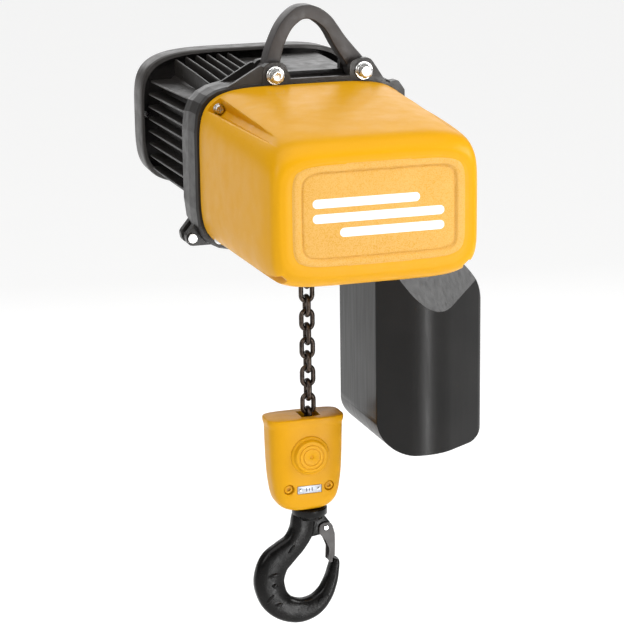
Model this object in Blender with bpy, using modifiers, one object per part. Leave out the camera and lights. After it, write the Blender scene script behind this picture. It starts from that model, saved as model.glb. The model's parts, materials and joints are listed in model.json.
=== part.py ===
"""Electric chain hoist, 500 kg, single fall of 5 x 15 mm chain.

Frame: the origin is the point of the suspension eye that bears on the support. +Z is up, the motor
axis runs along Y with the yellow cover towards -Y, and the load chain hangs along the Z axis.
All sizes below are in millimetres. MM turns them into Blender's metres.
"""

import math

import bmesh
import bpy
from mathutils import Matrix, Vector

MM = 0.001
GAP = 0.3
RING_POINTS = 28

# Chain
CHAIN_WIRE = 5.0
CHAIN_PITCH = 15.0
CHAIN_WIDTH = 17.0
WHEEL_RADIUS = 24.2
FALL_TOP = -176.0
FALL_LINKS = 18
LINK_SIDES = 5
LINK_OVERLAP = 0.55

# Body
BODY_X = -7.0
BODY_Z = -144.0
JOINT_Y = -20.0
CASTING_BACK_Y = 26.0
COVER_FRONT_Y = -240.0
MOTOR_BACK_Y = 168.0
FAN_COVER_Y = (172.0, 218.0)
MOTOR_Z = -122.0

# Shafts, as (x, z)
MOTOR_AXIS = (BODY_X, MOTOR_Z)
WHEEL_AXIS = (WHEEL_RADIUS, FALL_TOP)

# Gears: module, and teeth of pinion and wheel
FIRST_MODULE = 1.25
FIRST_TEETH = (12, 48)
SECOND_MODULE = 2.0
SECOND_TEETH = (11, 40)

# Suspension eye
EYE_DEPTH = 20.0
EYE_HALF_WIDTH = 6.9
LEFT_BOLT = (-36.0, -53.0)
RIGHT_BOLT = (57.0, -53.0)
EYE_BOLT_RADIUS = 5.0

# Hook block
BLOCK_X = -6.0
BLOCK_TOP = -412.0
BLOCK_BOTTOM = -513.0
PIN_Z = -434.9
BOSS_X = -5.2
BOSS_Z = -451.4
BLOCK_SCREW_Z = -487.0
PLATE_Z = -488.4
BLOCK_SCREW_DX = 22.0
LATCH_PIVOT = (15.9, -537.6)

LOOKS = {
    "yellow_paint": ((0.86, 0.43, 0.02), 0.38, 0.0),
    "black_paint": ((0.035, 0.033, 0.032), 0.42, 0.0),
    "black_plastic": ((0.03, 0.03, 0.03), 0.4, 0.0),
    "zinc": ((0.62, 0.63, 0.64), 0.3, 1.0),
    "black_steel": ((0.03, 0.027, 0.025), 0.35, 0.8),
    "machined_steel": ((0.5, 0.5, 0.5), 0.3, 1.0),
    "cast_aluminium": ((0.55, 0.56, 0.57), 0.5, 1.0),
    "copper": ((0.6, 0.3, 0.15), 0.4, 1.0),
    "rubber": ((0.02, 0.02, 0.02), 0.8, 0.0),
    "board_green": ((0.03, 0.18, 0.08), 0.5, 0.0),
    "plate_metal": ((0.75, 0.77, 0.8), 0.35, 1.0),
}

# Columns that turn a drawing in local x and y, drawn along local z, to each world axis
DRAWN_ALONG = {
    "X": Matrix(((0, 0, 1), (1, 0, 0), (0, 1, 0))),
    "Y": Matrix(((1, 0, 0), (0, 0, -1), (0, 1, 0))),
    "Z": Matrix.Identity(3),
}
TURNED_ABOUT = {
    "X": Matrix(((0, 0, 1), (1, 0, 0), (0, 1, 0))),
    "Y": Matrix(((0, 1, 0), (0, 0, 1), (1, 0, 0))),
    "Z": Matrix.Identity(3),
}


def clear_scene():
    for obj in list(bpy.data.objects):
        bpy.data.objects.remove(obj, do_unlink=True)


def make_collection(name):
    found = bpy.data.collections.new(name)
    bpy.context.scene.collection.children.link(found)
    return found


clear_scene()
PARTS = make_collection("chain_hoist")
MATERIALS = {}


def material(look):
    if look not in MATERIALS:
        colour, roughness, metallic = LOOKS[look]
        made = bpy.data.materials.new(look)
        made.use_nodes = True
        shader = made.node_tree.nodes["Principled BSDF"]
        shader.inputs["Base Color"].default_value = (*colour, 1.0)
        shader.inputs["Roughness"].default_value = roughness
        shader.inputs["Metallic"].default_value = metallic
        MATERIALS[look] = made
    return MATERIALS[look]


# ---------------------------------------------------------------- drawing tools


def add_object(name, data, look):
    obj = bpy.data.objects.new(name, data)
    PARTS.objects.link(obj)
    if look:
        data.materials.clear()
        data.materials.append(material(look))
    return obj


def evaluated_mesh(obj):
    graph = bpy.context.evaluated_depsgraph_get()
    return bpy.data.meshes.new_from_object(obj.evaluated_get(graph))


def bake(obj):
    """Applies the object's modifiers and its matrix, and returns it as one plain mesh object."""
    bpy.context.view_layer.update()
    mesh = evaluated_mesh(obj)
    mesh.transform(obj.matrix_world)
    name = obj.name
    bpy.data.objects.remove(obj, do_unlink=True)
    merge_points(mesh)
    return add_object(name, mesh, None)


def merge_points(mesh):
    bm = bmesh.new()
    bm.from_mesh(mesh)
    bmesh.ops.remove_doubles(bm, verts=bm.verts, dist=0.00001)
    bmesh.ops.recalc_face_normals(bm, faces=bm.faces)
    bm.to_mesh(mesh)
    bm.free()


def box(name, low, high, look):
    bm = bmesh.new()
    bmesh.ops.create_cube(bm, size=1.0)
    size = Vector(high) - Vector(low)
    middle = (Vector(high) + Vector(low)) / 2
    bmesh.ops.scale(bm, vec=size * MM, verts=bm.verts)
    bmesh.ops.translate(bm, vec=middle * MM, verts=bm.verts)
    mesh = bpy.data.meshes.new(name)
    bm.to_mesh(mesh)
    bm.free()
    return add_object(name, mesh, look)


def cylinder(name, axis, centre, low, high, radius, look, sides=20, top_radius=None):
    """A round bar or cone along an axis: centre holds the two other coordinates, low and high the ends."""
    bm = bmesh.new()
    bmesh.ops.create_cone(
        bm,
        cap_ends=True,
        segments=sides,
        radius1=radius * MM,
        radius2=(radius if top_radius is None else top_radius) * MM,
        depth=(high - low) * MM,
    )
    turn = TURNED_ABOUT[axis].to_4x4()
    middle = Vector({
        "X": ((low + high) / 2, centre[0], centre[1]),
        "Y": (centre[0], (low + high) / 2, centre[1]),
        "Z": (centre[0], centre[1], (low + high) / 2),
    }[axis])
    bmesh.ops.transform(bm, matrix=Matrix.Translation(middle * MM) @ turn, verts=bm.verts)
    mesh = bpy.data.meshes.new(name)
    bm.to_mesh(mesh)
    bm.free()
    return add_object(name, mesh, look)


def prism(name, axis, outline, low, high, look, bevel=0.0):
    """A flat outline, given in the plane across the axis, drawn out from low to high."""
    curve = bpy.data.curves.new(name, "CURVE")
    curve.dimensions = "2D"
    curve.fill_mode = "BOTH"
    curve.extrude = (high - low) / 2 * MM
    spline = curve.splines.new("POLY")
    spline.points.add(len(outline) - 1)
    for point, (x, y) in zip(spline.points, outline):
        point.co = (x * MM, y * MM, 0, 1)
    spline.use_cyclic_u = True
    obj = add_object(name, curve, look)
    middle = (low + high) / 2 * MM
    shift = {"X": (middle, 0, 0), "Y": (0, middle, 0), "Z": (0, 0, middle)}[axis]
    obj.matrix_world = Matrix.Translation(shift) @ DRAWN_ALONG[axis].to_4x4()
    obj = bake(obj)
    if bevel:
        round_edges(obj, bevel)
    return obj


def round_edges(obj, width, segments=2, angle=50):
    modifier = obj.modifiers.new("round", "BEVEL")
    modifier.width = width * MM
    modifier.segments = segments
    modifier.limit_method = "ANGLE"
    modifier.angle_limit = math.radians(angle)
    return obj


def turned(name, axis, centre, profile, look, steps=32, ring=False):
    """A turned shape: profile lists (along, radius) from the high end down its outer side."""
    mesh = bpy.data.meshes.new(name)
    points = [(radius * MM, 0, along * MM) for along, radius in profile]
    edges = [(i, i + 1) for i in range(len(points) - 1)]
    if ring:
        edges.append((len(points) - 1, 0))
    mesh.from_pydata(points, edges, [])
    obj = add_object(name, mesh, look)
    screw = obj.modifiers.new("turn", "SCREW")
    screw.axis = "Z"
    screw.steps = steps
    screw.render_steps = steps
    screw.use_merge_vertices = True
    screw.merge_threshold = 0.00001
    place = {"X": (0, *centre), "Y": (centre[0], 0, centre[1]), "Z": (*centre, 0)}[axis]
    obj.matrix_world = Matrix.Translation(Vector(place) * MM) @ TURNED_ABOUT[axis].to_4x4()
    return bake(obj)


def loft(name, rings, look):
    """A closed skin over rings of equal length, with a cap on the first and on the last ring."""
    bm = bmesh.new()
    rows = [[bm.verts.new(Vector(point) * MM) for point in ring] for ring in rings]
    count = len(rows[0])
    for low, high in zip(rows, rows[1:]):
        for i in range(count):
            j = (i + 1) % count
            bm.faces.new((low[i], low[j], high[j], high[i]))
    bm.faces.new(rows[0])
    bm.faces.new(rows[-1])
    bmesh.ops.recalc_face_normals(bm, faces=bm.faces)
    mesh = bpy.data.meshes.new(name)
    bm.to_mesh(mesh)
    bm.free()
    return add_object(name, mesh, look)


def combine(target, operation, *others):
    """Joins, cuts or keeps the target with the others, and removes them."""
    for other in others:
        modifier = target.modifiers.new(operation, "BOOLEAN")
        modifier.operation = operation
        modifier.object = other
    bpy.context.view_layer.update()
    mesh = evaluated_mesh(target)
    target.modifiers.clear()
    target.data = mesh
    for other in others:
        bpy.data.objects.remove(other, do_unlink=True)
    return target


def cut(target, *others):
    return combine(target, "DIFFERENCE", *others)


def fuse(target, *others):
    return combine(target, "UNION", *others)


def keep(target, *others):
    return combine(target, "INTERSECT", *others)


def squircle(half_width, half_height, power, count=RING_POINTS):
    """A rounded rectangle as a superellipse: the higher the power, the squarer its corners."""
    points = []
    for i in range(count):
        angle = 2 * math.pi * (i + 0.5) / count
        c = math.cos(angle)
        s = math.sin(angle)
        x = half_width * math.copysign(abs(c) ** (2 / power), c)
        y = half_height * math.copysign(abs(s) ** (2 / power), s)
        points.append((x, y))
    return points


def body_ring(y, half_width, top, bottom, power, centre_x=BODY_X):
    middle = (top + bottom) / 2
    return [
        (centre_x + x, y, middle + z)
        for x, z in squircle(half_width, (top - bottom) / 2, power)
    ]


def rounded(corners):
    """A polygon outline from (x, y, radius) corners, each filleted with its radius."""
    outline = []
    for i, (x, y, radius) in enumerate(corners):
        here = Vector((x, y))
        before = Vector(corners[i - 1][:2]) - here
        after = Vector(corners[(i + 1) % len(corners)][:2]) - here
        half = before.angle(after) / 2
        inward = (before.normalized() + after.normalized()).normalized()
        centre = here + inward * radius / math.sin(half)
        start = here + before.normalized() * radius / math.tan(half) - centre
        sweep = math.pi - 2 * half
        steps = min(6, 1 + int(radius / 3))
        if start.x * (here - centre).y - start.y * (here - centre).x < 0:
            sweep = -sweep
        for k in range(steps + 1):
            turn = Matrix.Rotation(sweep * k / steps, 2)
            outline.append(tuple(centre + turn @ start))
    return outline


def smooth_path(points, steps):
    """Catmull-Rom points through the given ones, which may carry a width as a third value."""
    path = [Vector(p) for p in points]
    path = [2 * path[0] - path[1], *path, 2 * path[-1] - path[-2]]
    found = []
    for a, b, c, d in zip(path, path[1:], path[2:], path[3:]):
        for k in range(steps):
            t = k / steps
            found.append(
                0.5 * (2 * b + (c - a) * t + (2 * a - 5 * b + 4 * c - d) * t * t
                       + (3 * b - a - 3 * c + d) * t ** 3)
            )
    found.append(path[-2])
    return found


def band(points, steps=3):
    """The outline of a bent bar, from (x, z, half width) points along its middle."""
    path = smooth_path(points, steps)
    left = []
    right = []
    for i, point in enumerate(path):
        ahead = path[min(i + 1, len(path) - 1)] - path[max(i - 1, 0)]
        side = Vector((-ahead.y, ahead.x)).normalized() * point.z
        left.append((point.x + side.x, point.y + side.y))
        right.append((point.x - side.x, point.y - side.y))
    return left + right[::-1]


# Across a forged bar: its flat sides at full depth, and its rounded edges
BAR_SECTION = [
    (1, -0.4), (1, 0.4), (0.84, 0.82), (0.5, 1), (-0.5, 1), (-0.84, 0.82),
    (-1, 0.4), (-1, -0.4), (-0.84, -0.82), (-0.5, -1), (0.5, -1), (0.84, -0.82),
]


FLAT_BAR = [(1, -0.82), (1, 0.82), (0.78, 1), (-0.78, 1), (-1, 0.82), (-1, -0.82), (-0.78, -1), (0.78, -1)]


def forged(name, points, half_depth, look, steps=2, section=BAR_SECTION):
    """A bar of even depth in Y, from (x, z, half width) points along its middle."""
    path = smooth_path(points, steps)
    rings = []
    for i, point in enumerate(path):
        ahead = path[min(i + 1, len(path) - 1)] - path[max(i - 1, 0)]
        side = Vector((-ahead.y, ahead.x)).normalized() * point.z
        rings.append([
            (point.x + side.x * u, half_depth * v, point.y + side.y * u) for u, v in section
        ])
    return loft(name, rings, look)


def ring_of(axis, centre, low, high, inner, outer, name, look, steps=32):
    profile = [(high, outer), (low, outer), (low, inner), (high, inner)]
    return turned(name, axis, centre, profile, look, steps, ring=True)


# ---------------------------------------------------------------- chain


def link(name, centre, along, side):
    """One welded link: a torus whose halves are moved apart to give the straight sides."""
    radius = (CHAIN_WIDTH - CHAIN_WIRE) / 2 / math.sin(math.radians(72))
    bpy.ops.mesh.primitive_torus_add(
        major_segments=10,
        minor_segments=LINK_SIDES,
        major_radius=radius * MM,
        minor_radius=CHAIN_WIRE / 2 * 1.05 * MM,
    )
    obj = bpy.context.object
    reach = (CHAIN_PITCH + CHAIN_WIRE) / 2 - LINK_OVERLAP - radius
    for vertex in obj.data.vertices:
        vertex.co.x += math.copysign(reach * MM, vertex.co.x)
    along = Vector(along).normalized()
    side = Vector(side).normalized()
    across = along.cross(side)
    turn = Matrix((along, side, across)).transposed().to_4x4()
    obj.data.transform(Matrix.Translation(Vector(centre) * MM) @ turn)
    for held in list(obj.users_collection):
        held.objects.unlink(obj)
    PARTS.objects.link(obj)
    obj.name = name
    return obj


def strand(name, links):
    """Links that bear on each other, joined where they bear: (centre, along, side) each."""
    made = [link(f"{name}_{i}", *each) for i, each in enumerate(links)]
    obj = fuse(made[0], *made[1:])
    obj.name = name
    obj.data.materials.clear()
    obj.data.materials.append(material("black_steel"))
    return obj


def hanging_fall():
    links = []
    for i in range(FALL_LINKS):
        centre = (0, 0, FALL_TOP - CHAIN_PITCH * i)
        links.append((centre, (0, 0, -1), (0, 1, 0) if i % 2 == 0 else (1, 0, 0)))
    return strand("load_chain", links)


def chain_on_wheel():
    """The links seated on the wheel, from 72 degrees past where the fall leaves it."""
    links = []
    for step in (2, 3, 4, 5):
        angle = math.radians(180 - 36 * step)
        out = Vector((math.cos(angle), 0, math.sin(angle)))
        centre = Vector((WHEEL_AXIS[0], 0, WHEEL_AXIS[1])) + out * WHEEL_RADIUS
        along = (-out.z, 0, out.x)
        links.append((centre, along, (0, 1, 0) if step % 2 == 0 else out))
    return strand("wheel_chain", links)


SLACK_ROUTE = [
    (48.8, 0, -205), (57, 0, -215), (70, 0, -223), (83, 0, -235), (90, 1, -256), (93, 3, -290),
    (94, 4, -330), (96, 4, -370), (101, 4, -405), (112, 4, -424),
]


def slack_fall():
    """The unloaded fall, which runs down into the container and lies on its floor."""
    route = smooth_path(SLACK_ROUTE, 24)
    spots = [route[0]]
    for point in route:
        if (point - spots[-1]).length >= CHAIN_PITCH:
            spots.append(point)
    links = []
    for i, spot in enumerate(spots):
        after = spots[min(i + 1, len(spots) - 1)]
        before = spots[max(i - 1, 0)]
        along = (after - before).normalized()
        level = Vector((0, 1, 0))
        first = (level - along * level.dot(along)).normalized()
        second = along.cross(first)
        links.append((spot, along, first if i % 2 else second))
    return strand("slack_chain", links)


# ---------------------------------------------------------------- gears


def gear_outline(centre, module, teeth, first_angle):
    """Straight-flanked teeth: two points at the root and two at the tip of each."""
    pitch = module * teeth / 2
    tip = pitch + 0.85 * module
    root = pitch - 1.15 * module
    half = math.pi / teeth / 2 - 0.13 * module / pitch
    slope = math.tan(math.radians(20))
    half_tip = half - 0.85 * module * slope / tip
    half_root = half + 1.15 * module * slope / root
    outline = []
    for i in range(teeth):
        middle = first_angle + 2 * math.pi * i / teeth
        for radius, offset in (
            (root, -half_root), (tip, -half_tip), (tip, half_tip), (root, half_root)
        ):
            angle = middle + offset
            x = centre[0] + radius * math.cos(angle)
            outline.append((x, centre[1] + radius * math.sin(angle)))
    return outline


def intermediate_axis():
    """Where the intermediate shaft lies so that both pairs of gears mesh, left of the motor."""
    first = FIRST_MODULE * sum(FIRST_TEETH) / 2
    second = SECOND_MODULE * sum(SECOND_TEETH) / 2
    start = Vector(MOTOR_AXIS)
    line = Vector(WHEEL_AXIS) - start
    along = (first ** 2 - second ** 2 + line.length_squared) / (2 * line.length)
    across = math.sqrt(first ** 2 - along ** 2)
    unit = line.normalized()
    return tuple(start + unit * along + Vector((unit.y, -unit.x)) * across)


MIDDLE_AXIS = intermediate_axis()


def angle_between(start, end):
    return math.atan2(end[1] - start[1], end[0] - start[0])


def gears():
    to_middle = angle_between(MOTOR_AXIS, MIDDLE_AXIS)
    to_wheel = angle_between(MIDDLE_AXIS, WHEEL_AXIS)
    pinion = prism(
        "motor_pinion", "Y",
        gear_outline(MOTOR_AXIS, FIRST_MODULE, FIRST_TEETH[0], to_middle), -57, -45, "machined_steel",
    )
    cut(pinion, cylinder("bore", "Y", MOTOR_AXIS, -60, -40, 4.8, None))
    large = prism(
        "intermediate_gear", "Y",
        gear_outline(
            MIDDLE_AXIS, FIRST_MODULE, FIRST_TEETH[1],
            to_middle + math.pi + math.pi / FIRST_TEETH[1],
        ), -56, -46, "machined_steel",
    )
    cut(large, cylinder("bore", "Y", MIDDLE_AXIS, -60, -40, 7.3, None))
    shaft = turned(
        "intermediate_shaft", "Y", MIDDLE_AXIS,
        [(-25, 0), (-25, 7), (-44, 7), (-80, 7), (-80, 0)], "machined_steel", 20,
    )
    fuse(
        shaft,
        prism(
            "teeth", "Y",
            gear_outline(MIDDLE_AXIS, SECOND_MODULE, SECOND_TEETH[0], to_wheel), -42, -27, None,
        ),
    )
    output = prism(
        "output_gear", "Y",
        gear_outline(
            WHEEL_AXIS, SECOND_MODULE, SECOND_TEETH[1],
            to_wheel + math.pi + math.pi / SECOND_TEETH[1],
        ), -40, -28, "machined_steel",
    )
    cut(
        output,
        cylinder("bore", "Y", WHEEL_AXIS, -60, -20, 9.0, None),
        *(
            cylinder(
                f"hole_{i}", "Y",
                (
                    WHEEL_AXIS[0] + 24 * math.cos(math.radians(72 * i)),
                    WHEEL_AXIS[1] + 24 * math.sin(math.radians(72 * i)),
                ), -60, -20, 7, None, 10,
            )
            for i in range(5)
        ),
    )
    ring_of("Y", MIDDLE_AXIS, -66, -57, 7.3, 21, "slip_clutch", "machined_steel", 24)


def load_wheel():
    """Pocket wheel for five pairs of links, in one piece with its shaft."""
    wheel = turned(
        "load_wheel", "Y", WHEEL_AXIS,
        [
            (20, 0), (20, 8.7), (11, 8.7), (11, 25), (9.5, 26.4), (3.5, 26.4), (3.5, 15),
            (-3.5, 15), (-3.5, 26.4), (-9.5, 26.4), (-11, 25), (-11, 8.7), (-69, 8.7), (-69, 0),
        ],
        "machined_steel", 30,
    )
    pockets = []
    for i in range(5):
        pocket = box(f"pocket_{i}", (19.7, -9.2, -14.6), (40, 9.2, 14.6), None)
        place = Matrix.Translation(Vector((WHEEL_AXIS[0], 0, WHEEL_AXIS[1])) * MM)
        pocket.data.transform(place @ Matrix.Rotation(math.radians(180 + 72 * i), 4, "Y"))
        pockets.append(pocket)
    cut(wheel, *pockets)


# ---------------------------------------------------------------- fixed body


def suspension_eye():
    """A bent bar with two feet; its inner top, over the chain, is the origin."""
    middle = [
        (LEFT_BOLT[0] - 1, LEFT_BOLT[1] + 1, 8.0),
        (-30.5, -27, 6.8),
        (-20.8, -7, 6.6),
        (-9, 4.3, 6.9),
        (1, EYE_HALF_WIDTH, EYE_HALF_WIDTH),
        (11.5, 4.2, 7.0),
        (21.5, -3.0, 6.8),
        (28.2, -11.5, 6.6),
        (37.4, -26.2, 7.6),
        (RIGHT_BOLT[0] - 0.5, RIGHT_BOLT[1] + 1.5, 9.6),
    ]
    half = EYE_DEPTH / 2
    eye = forged("suspension_eye", middle, half, "black_paint", section=FLAT_BAR)
    feet = [
        cylinder(f"foot_{i}", "Y", bolt, -half - 0.5, half + 0.5, 11.6, None, 24)
        for i, bolt in enumerate((LEFT_BOLT, RIGHT_BOLT))
    ]
    fuse(eye, *feet)
    holes = [
        cylinder(f"hole_{i}", "Y", bolt, -30, 30, EYE_BOLT_RADIUS + GAP, None, 16)
        for i, bolt in enumerate((LEFT_BOLT, RIGHT_BOLT))
    ]
    cut(eye, *holes)


def eye_bolts():
    for side, bolt in (("left", LEFT_BOLT), ("right", RIGHT_BOLT)):
        head = cylinder(f"eye_bolt_{side}", "Y", bolt, -29, -22.6, 7.6, "zinc", 6)
        washer = cylinder("washer", "Y", bolt, -22.8, -20.3, 9.0, None, 20)
        shank = cylinder("shank", "Y", bolt, -24, 30, EYE_BOLT_RADIUS, None, 16)
        fuse(head, washer, shank)
        nut = cylinder(f"eye_nut_{side}", "Y", bolt, 20.3, 28.3, 7.6, "zinc", 6)
        cut(nut, cylinder("bore", "Y", bolt, 10, 40, EYE_BOLT_RADIUS + GAP, None, 16))


def clevis(low, high, web):
    """One plate of the two pairs of ears, with the sloping web on the left."""
    left = prism(
        f"ear_left_{low}", "Y",
        rounded([(-51, -90, 1), (-48, -41, 7), (-26, -40, 8), (-20, -56, 3), (-16, -90, 1)]),
        low, high, None,
    )
    right = prism(
        f"ear_right_{low}", "Y",
        rounded([(41, -90, 1), (43, -42, 7), (64, -40, 8), (83, -69, 3), (85, -90, 1)]),
        low, high, None,
    )
    slope = prism(
        f"web_{low}", "Y",
        rounded([(-103, -78, 2), (-101, -71, 3), (-48, -41, 3), (-40, -90, 1), (-95, -90, 1)]),
        *web, None,
    )
    return [left, right, slope]


def main_housing():
    """Centre casting: flange, ears, ribs, lug, wheel chamber, bearing seats and chain outlets."""
    rings = [
        body_ring(JOINT_Y, 111, -61, -227, 5.6),
        body_ring(JOINT_Y + 3, 113, -59.5, -228.5, 5.6),
        body_ring(2, 114.5, -59, -228.6, 5.6),
        body_ring(CASTING_BACK_Y - 2, 114.5, -59.5, -226, 5),
        body_ring(CASTING_BACK_Y, 113, -61, -224, 5),
    ]
    casting = loft("main_housing", rings, "black_paint")
    ribs = [
        *clevis(-19.8, -11.6, (-19.2, -15)),
        *clevis(11.6, 20, (12.1, 15.7)),
        box("ridge", (-25, 8, -80), (46, 19.6, -54), None),
        box("strip", (-24, -19.5, -81), (45, -14, -57.5), None),
        prism(
            "corner_pad", "Y",
            rounded([(84, -90, 1), (84, -66, 2), (94, -65, 3), (101, -75, 3), (101, -90, 1)]),
            -19.6, -8, None,
        ),
        prism(
            "lug_front", "Y",
            rounded([(-110, -189, 2), (-128, -211, 5), (-126, -222, 6), (-92, -222, 2)]),
            -6, 2, None,
        ),
        prism(
            "lug_rear", "Y",
            rounded([(-110, -189, 2), (-128, -211, 5), (-126, -222, 6), (-92, -222, 2)]),
            14, 22, None,
        ),
    ]
    fuse(casting, *ribs)
    wheel_room = [
        cylinder("wheel_room", "Y", WHEEL_AXIS, -12, 12, 40, None, 40),
        cylinder("shaft_room", "Y", WHEEL_AXIS, -30, -11, 15.3, None),
        cylinder("shaft_seat", "Y", WHEEL_AXIS, 11, 20.6, 15.3, None),
        box("fall_outlet", (-12, -11.6, -240), (12, 11.6, -176), None),
        box("slack_outlet", (38, -11.3, -240), (94, 11.3, -190), None),
        box("lever_room", (-34, -16, -240), (17, 16, -213), None),
    ]
    hollows = [
        cylinder("motor_bore", "Y", MOTOR_AXIS, -40, 40, 9.5, None),
        prism(
            "left_room", "Y",
            rounded([(-106, -80, 12), (-44, -80, 6), (-44, -216, 6), (-104, -214, 14)]),
            -10.8, 40, None,
        ),
        prism(
            "right_room", "Y",
            rounded([(30, -78, 6), (96, -78, 12), (98, -180, 8), (76, -180, 8), (62, -128, 8), (30, -118, 6)]),
            -10.8, 40, None,
        ),
    ]
    cut(casting, *wheel_room)
    cut(casting, *hollows)
    holes = [
        cylinder(f"bolt_hole_{i}", "Y", bolt, -40, 20.2, EYE_BOLT_RADIUS + GAP, None, 16)
        for i, bolt in enumerate((LEFT_BOLT, RIGHT_BOLT))
    ]
    seats = [
        cylinder(f"foot_seat_{i}", "Y", bolt, -11.2, 11.2, 13.2, None, 24)
        for i, bolt in enumerate((LEFT_BOLT, RIGHT_BOLT))
    ]
    threads = [
        cylinder(f"thread_{i}", "Y", centre, -30, -13.5, 2.7, None, 10)
        for i, centre in enumerate(cover_screw_places())
    ]
    nuts = [
        cylinder(f"nut_room_{i}", "Y", bolt, 20.1, 60, 9.6, None, 20)
        for i, bolt in enumerate((LEFT_BOLT, RIGHT_BOLT))
    ]
    cut(casting, *nuts, *holes)
    cut(casting, *seats)
    cut(casting, *threads)
    cut(casting, cylinder("lug_hole", "Y", LUG_CENTRE, -10, 30, 3.9, None, 16))


LUG_CENTRE = (-121.5, -214.0)


def lug_pin():
    pin = cylinder("lug_pin", "Y", LUG_CENTRE, -8, 24, 3.6, "zinc", 16)
    fuse(pin, cylinder("head", "Y", LUG_CENTRE, -9, -6.3, 4.9, None, 16))


def cover_screw_places():
    return [
        (BODY_X + dx, z) for dx, z in ((-91, -81), (91, -81), (-93, -211), (93, -211))
    ]


COVER_RINGS = [
    # y, half width, top, bottom, power
    (-22.0, 109.0, -62.5, -225.5, 5.0),
    (-60.0, 109.5, -65.5, -225.0, 5.0),
    (-120.0, 108.3, -70.5, -224.0, 5.2),
    (-175.0, 106.3, -76.0, -223.0, 5.5),
    (-208.0, 104.5, -80.0, -222.0, 5.8),
    (-224.0, 102.2, -83.5, -220.0, 6.0),
    (-233.0, 100.0, -89.0, -215.5, 6.0),
    (-238.0, 95.5, -95.0, -209.5, 5.8),
    (COVER_FRONT_Y, 89.5, -101.0, -204.0, 5.5),
]
COVER_WALL = 3.5


def front_cover():
    """The painted cover: a deep shell, open at the back, with a screw groove along each corner."""
    outer = [body_ring(*row) for row in COVER_RINGS]
    inner = [
        body_ring(y, half - COVER_WALL, top - COVER_WALL, bottom + COVER_WALL, 3.0)
        for y, half, top, bottom, power in COVER_RINGS[:6]
    ]
    last = COVER_RINGS[6]
    inner.append(
        body_ring(last[0] - 3, last[1] - 8, last[2] - 8, last[3] + 8, 3.0)
    )
    cover = loft("front_cover", outer[::-1] + inner, "yellow_paint")
    posts = [
        cylinder(f"post_{i}", "Y", (BODY_X + dx, z), -238, BOARD_Y - 1 - GAP, 4, None, 10)
        for i, (dx, z) in enumerate(((-60, -115), (60, -115), (-60, -185), (60, -185)))
    ]
    fuse(cover, *posts)
    grooves = [
        cylinder(f"groove_{i}", "Y", (x + math.copysign(1.5, x - BODY_X), z + (1 if z > BODY_Z else -1)),
                 -260, -31, 7.6, None, 16)
        for i, (x, z) in enumerate(cover_screw_places())
    ]
    holes = [
        cylinder(f"hole_{i}", "Y", centre, -60, -10, 2.7, None, 10)
        for i, centre in enumerate(cover_screw_places())
    ]
    panel = prism(
        "panel", "Y",
        rounded([(-80, -191, 11), (-80, -111, 11), (69, -111, 11), (69, -191, 11)]),
        -250, COVER_FRONT_Y + 1.2, None,
    )
    cut(cover, *grooves)
    cut(cover, *holes, panel)


def cover_gasket():
    rings = [
        body_ring(-21.7, 108.0, -63.5, -224.5, 5.0),
        body_ring(-20.3, 108.0, -63.5, -224.5, 5.0),
    ]
    gasket = loft("cover_gasket", rings, "rubber")
    opening = loft(
        "opening",
        [body_ring(-25, 104.5, -67, -221, 3.2), body_ring(-15, 104.5, -67, -221, 3.2)],
        None,
    )
    holes = [
        cylinder(f"hole_{i}", "Y", centre, -30, -10, 2.7, None, 10)
        for i, centre in enumerate(cover_screw_places())
    ]
    cut(gasket, opening, *holes)


def cover_screws():
    for i, centre in enumerate(cover_screw_places()):
        screw = cylinder(f"cover_screw_{i + 1}", "Y", centre, -36, -31 - GAP, 4.6, "zinc", 16)
        fuse(screw, cylinder("shank", "Y", centre, -33, -14, 2.4, None, 10))
        cut(screw, cylinder("socket", "Y", centre, -40, -33.5, 2.3, None, 6))


def motor_housing():
    """Cast motor barrel with fins along the motor, cut to one envelope."""
    front = CASTING_BACK_Y + GAP
    core = loft(
        "motor_housing",
        [body_ring(y, half, top, bottom, 3.2) for y, half, top, bottom in (
            (front, 101, -66, -205), (front + 60, 101, -64, -200), (MOTOR_BACK_Y, 101, -61, -193)
        )],
        "black_paint",
    )
    fins = []
    for side in (-1, 1):
        for i in range(8):
            z = -80 - 13.2 * i
            fins.append(box(
                f"fin_{side}_{i}", (BODY_X + side * 90 - 32, front, z - 1.6),
                (BODY_X + side * 90 + 32, MOTOR_BACK_Y, z + 1.6), None,
            ))
    for i in range(6):
        x = -88 + 11.5 * i
        fins.append(box(f"top_fin_{i}", (x - 1.6, front, -90), (x + 1.6, MOTOR_BACK_Y, -45), None))
    for i in range(5):
        x = -60 + 24 * i
        fins.append(box(f"low_fin_{i}", (x - 1.6, front, -215), (x + 1.6, MOTOR_BACK_Y, -180), None))
    comb = fuse(fins[0], *fins[1:])
    envelope = loft(
        "envelope",
        [body_ring(y, half, top, bottom, 4.6) for y, half, top, bottom in (
            (front, 112, -62, -219), (front + 60, 112.5, -58, -212), (MOTOR_BACK_Y, 113, -54, -199)
        )],
        None,
    )
    comb = keep(comb, envelope)
    saddle = box("saddle", (4, front, -80), (72, MOTOR_BACK_Y, -58.5), None)
    fuse(core, comb, saddle)
    cut(
        core,
        cylinder("stator_room", "Y", MOTOR_AXIS, 44, 200, 52.3, None, 36),
        cylinder("bearing_seat", "Y", MOTOR_AXIS, 32, 50, 15.3, None),
        cylinder("shaft_hole", "Y", MOTOR_AXIS, 10, 60, 9.5, None),
        cylinder("container_clear", "Y", (118, -250), 10, 64, 34, None),
        box("terminal_seat", (97, 50, -230), (130, 132, -85), None),
        *(
            cylinder(f"nut_room_{i}", "Y", bolt, 10, 36, 9.6, None, 20)
            for i, bolt in enumerate((LEFT_BOLT, RIGHT_BOLT))
        ),
    )


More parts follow.
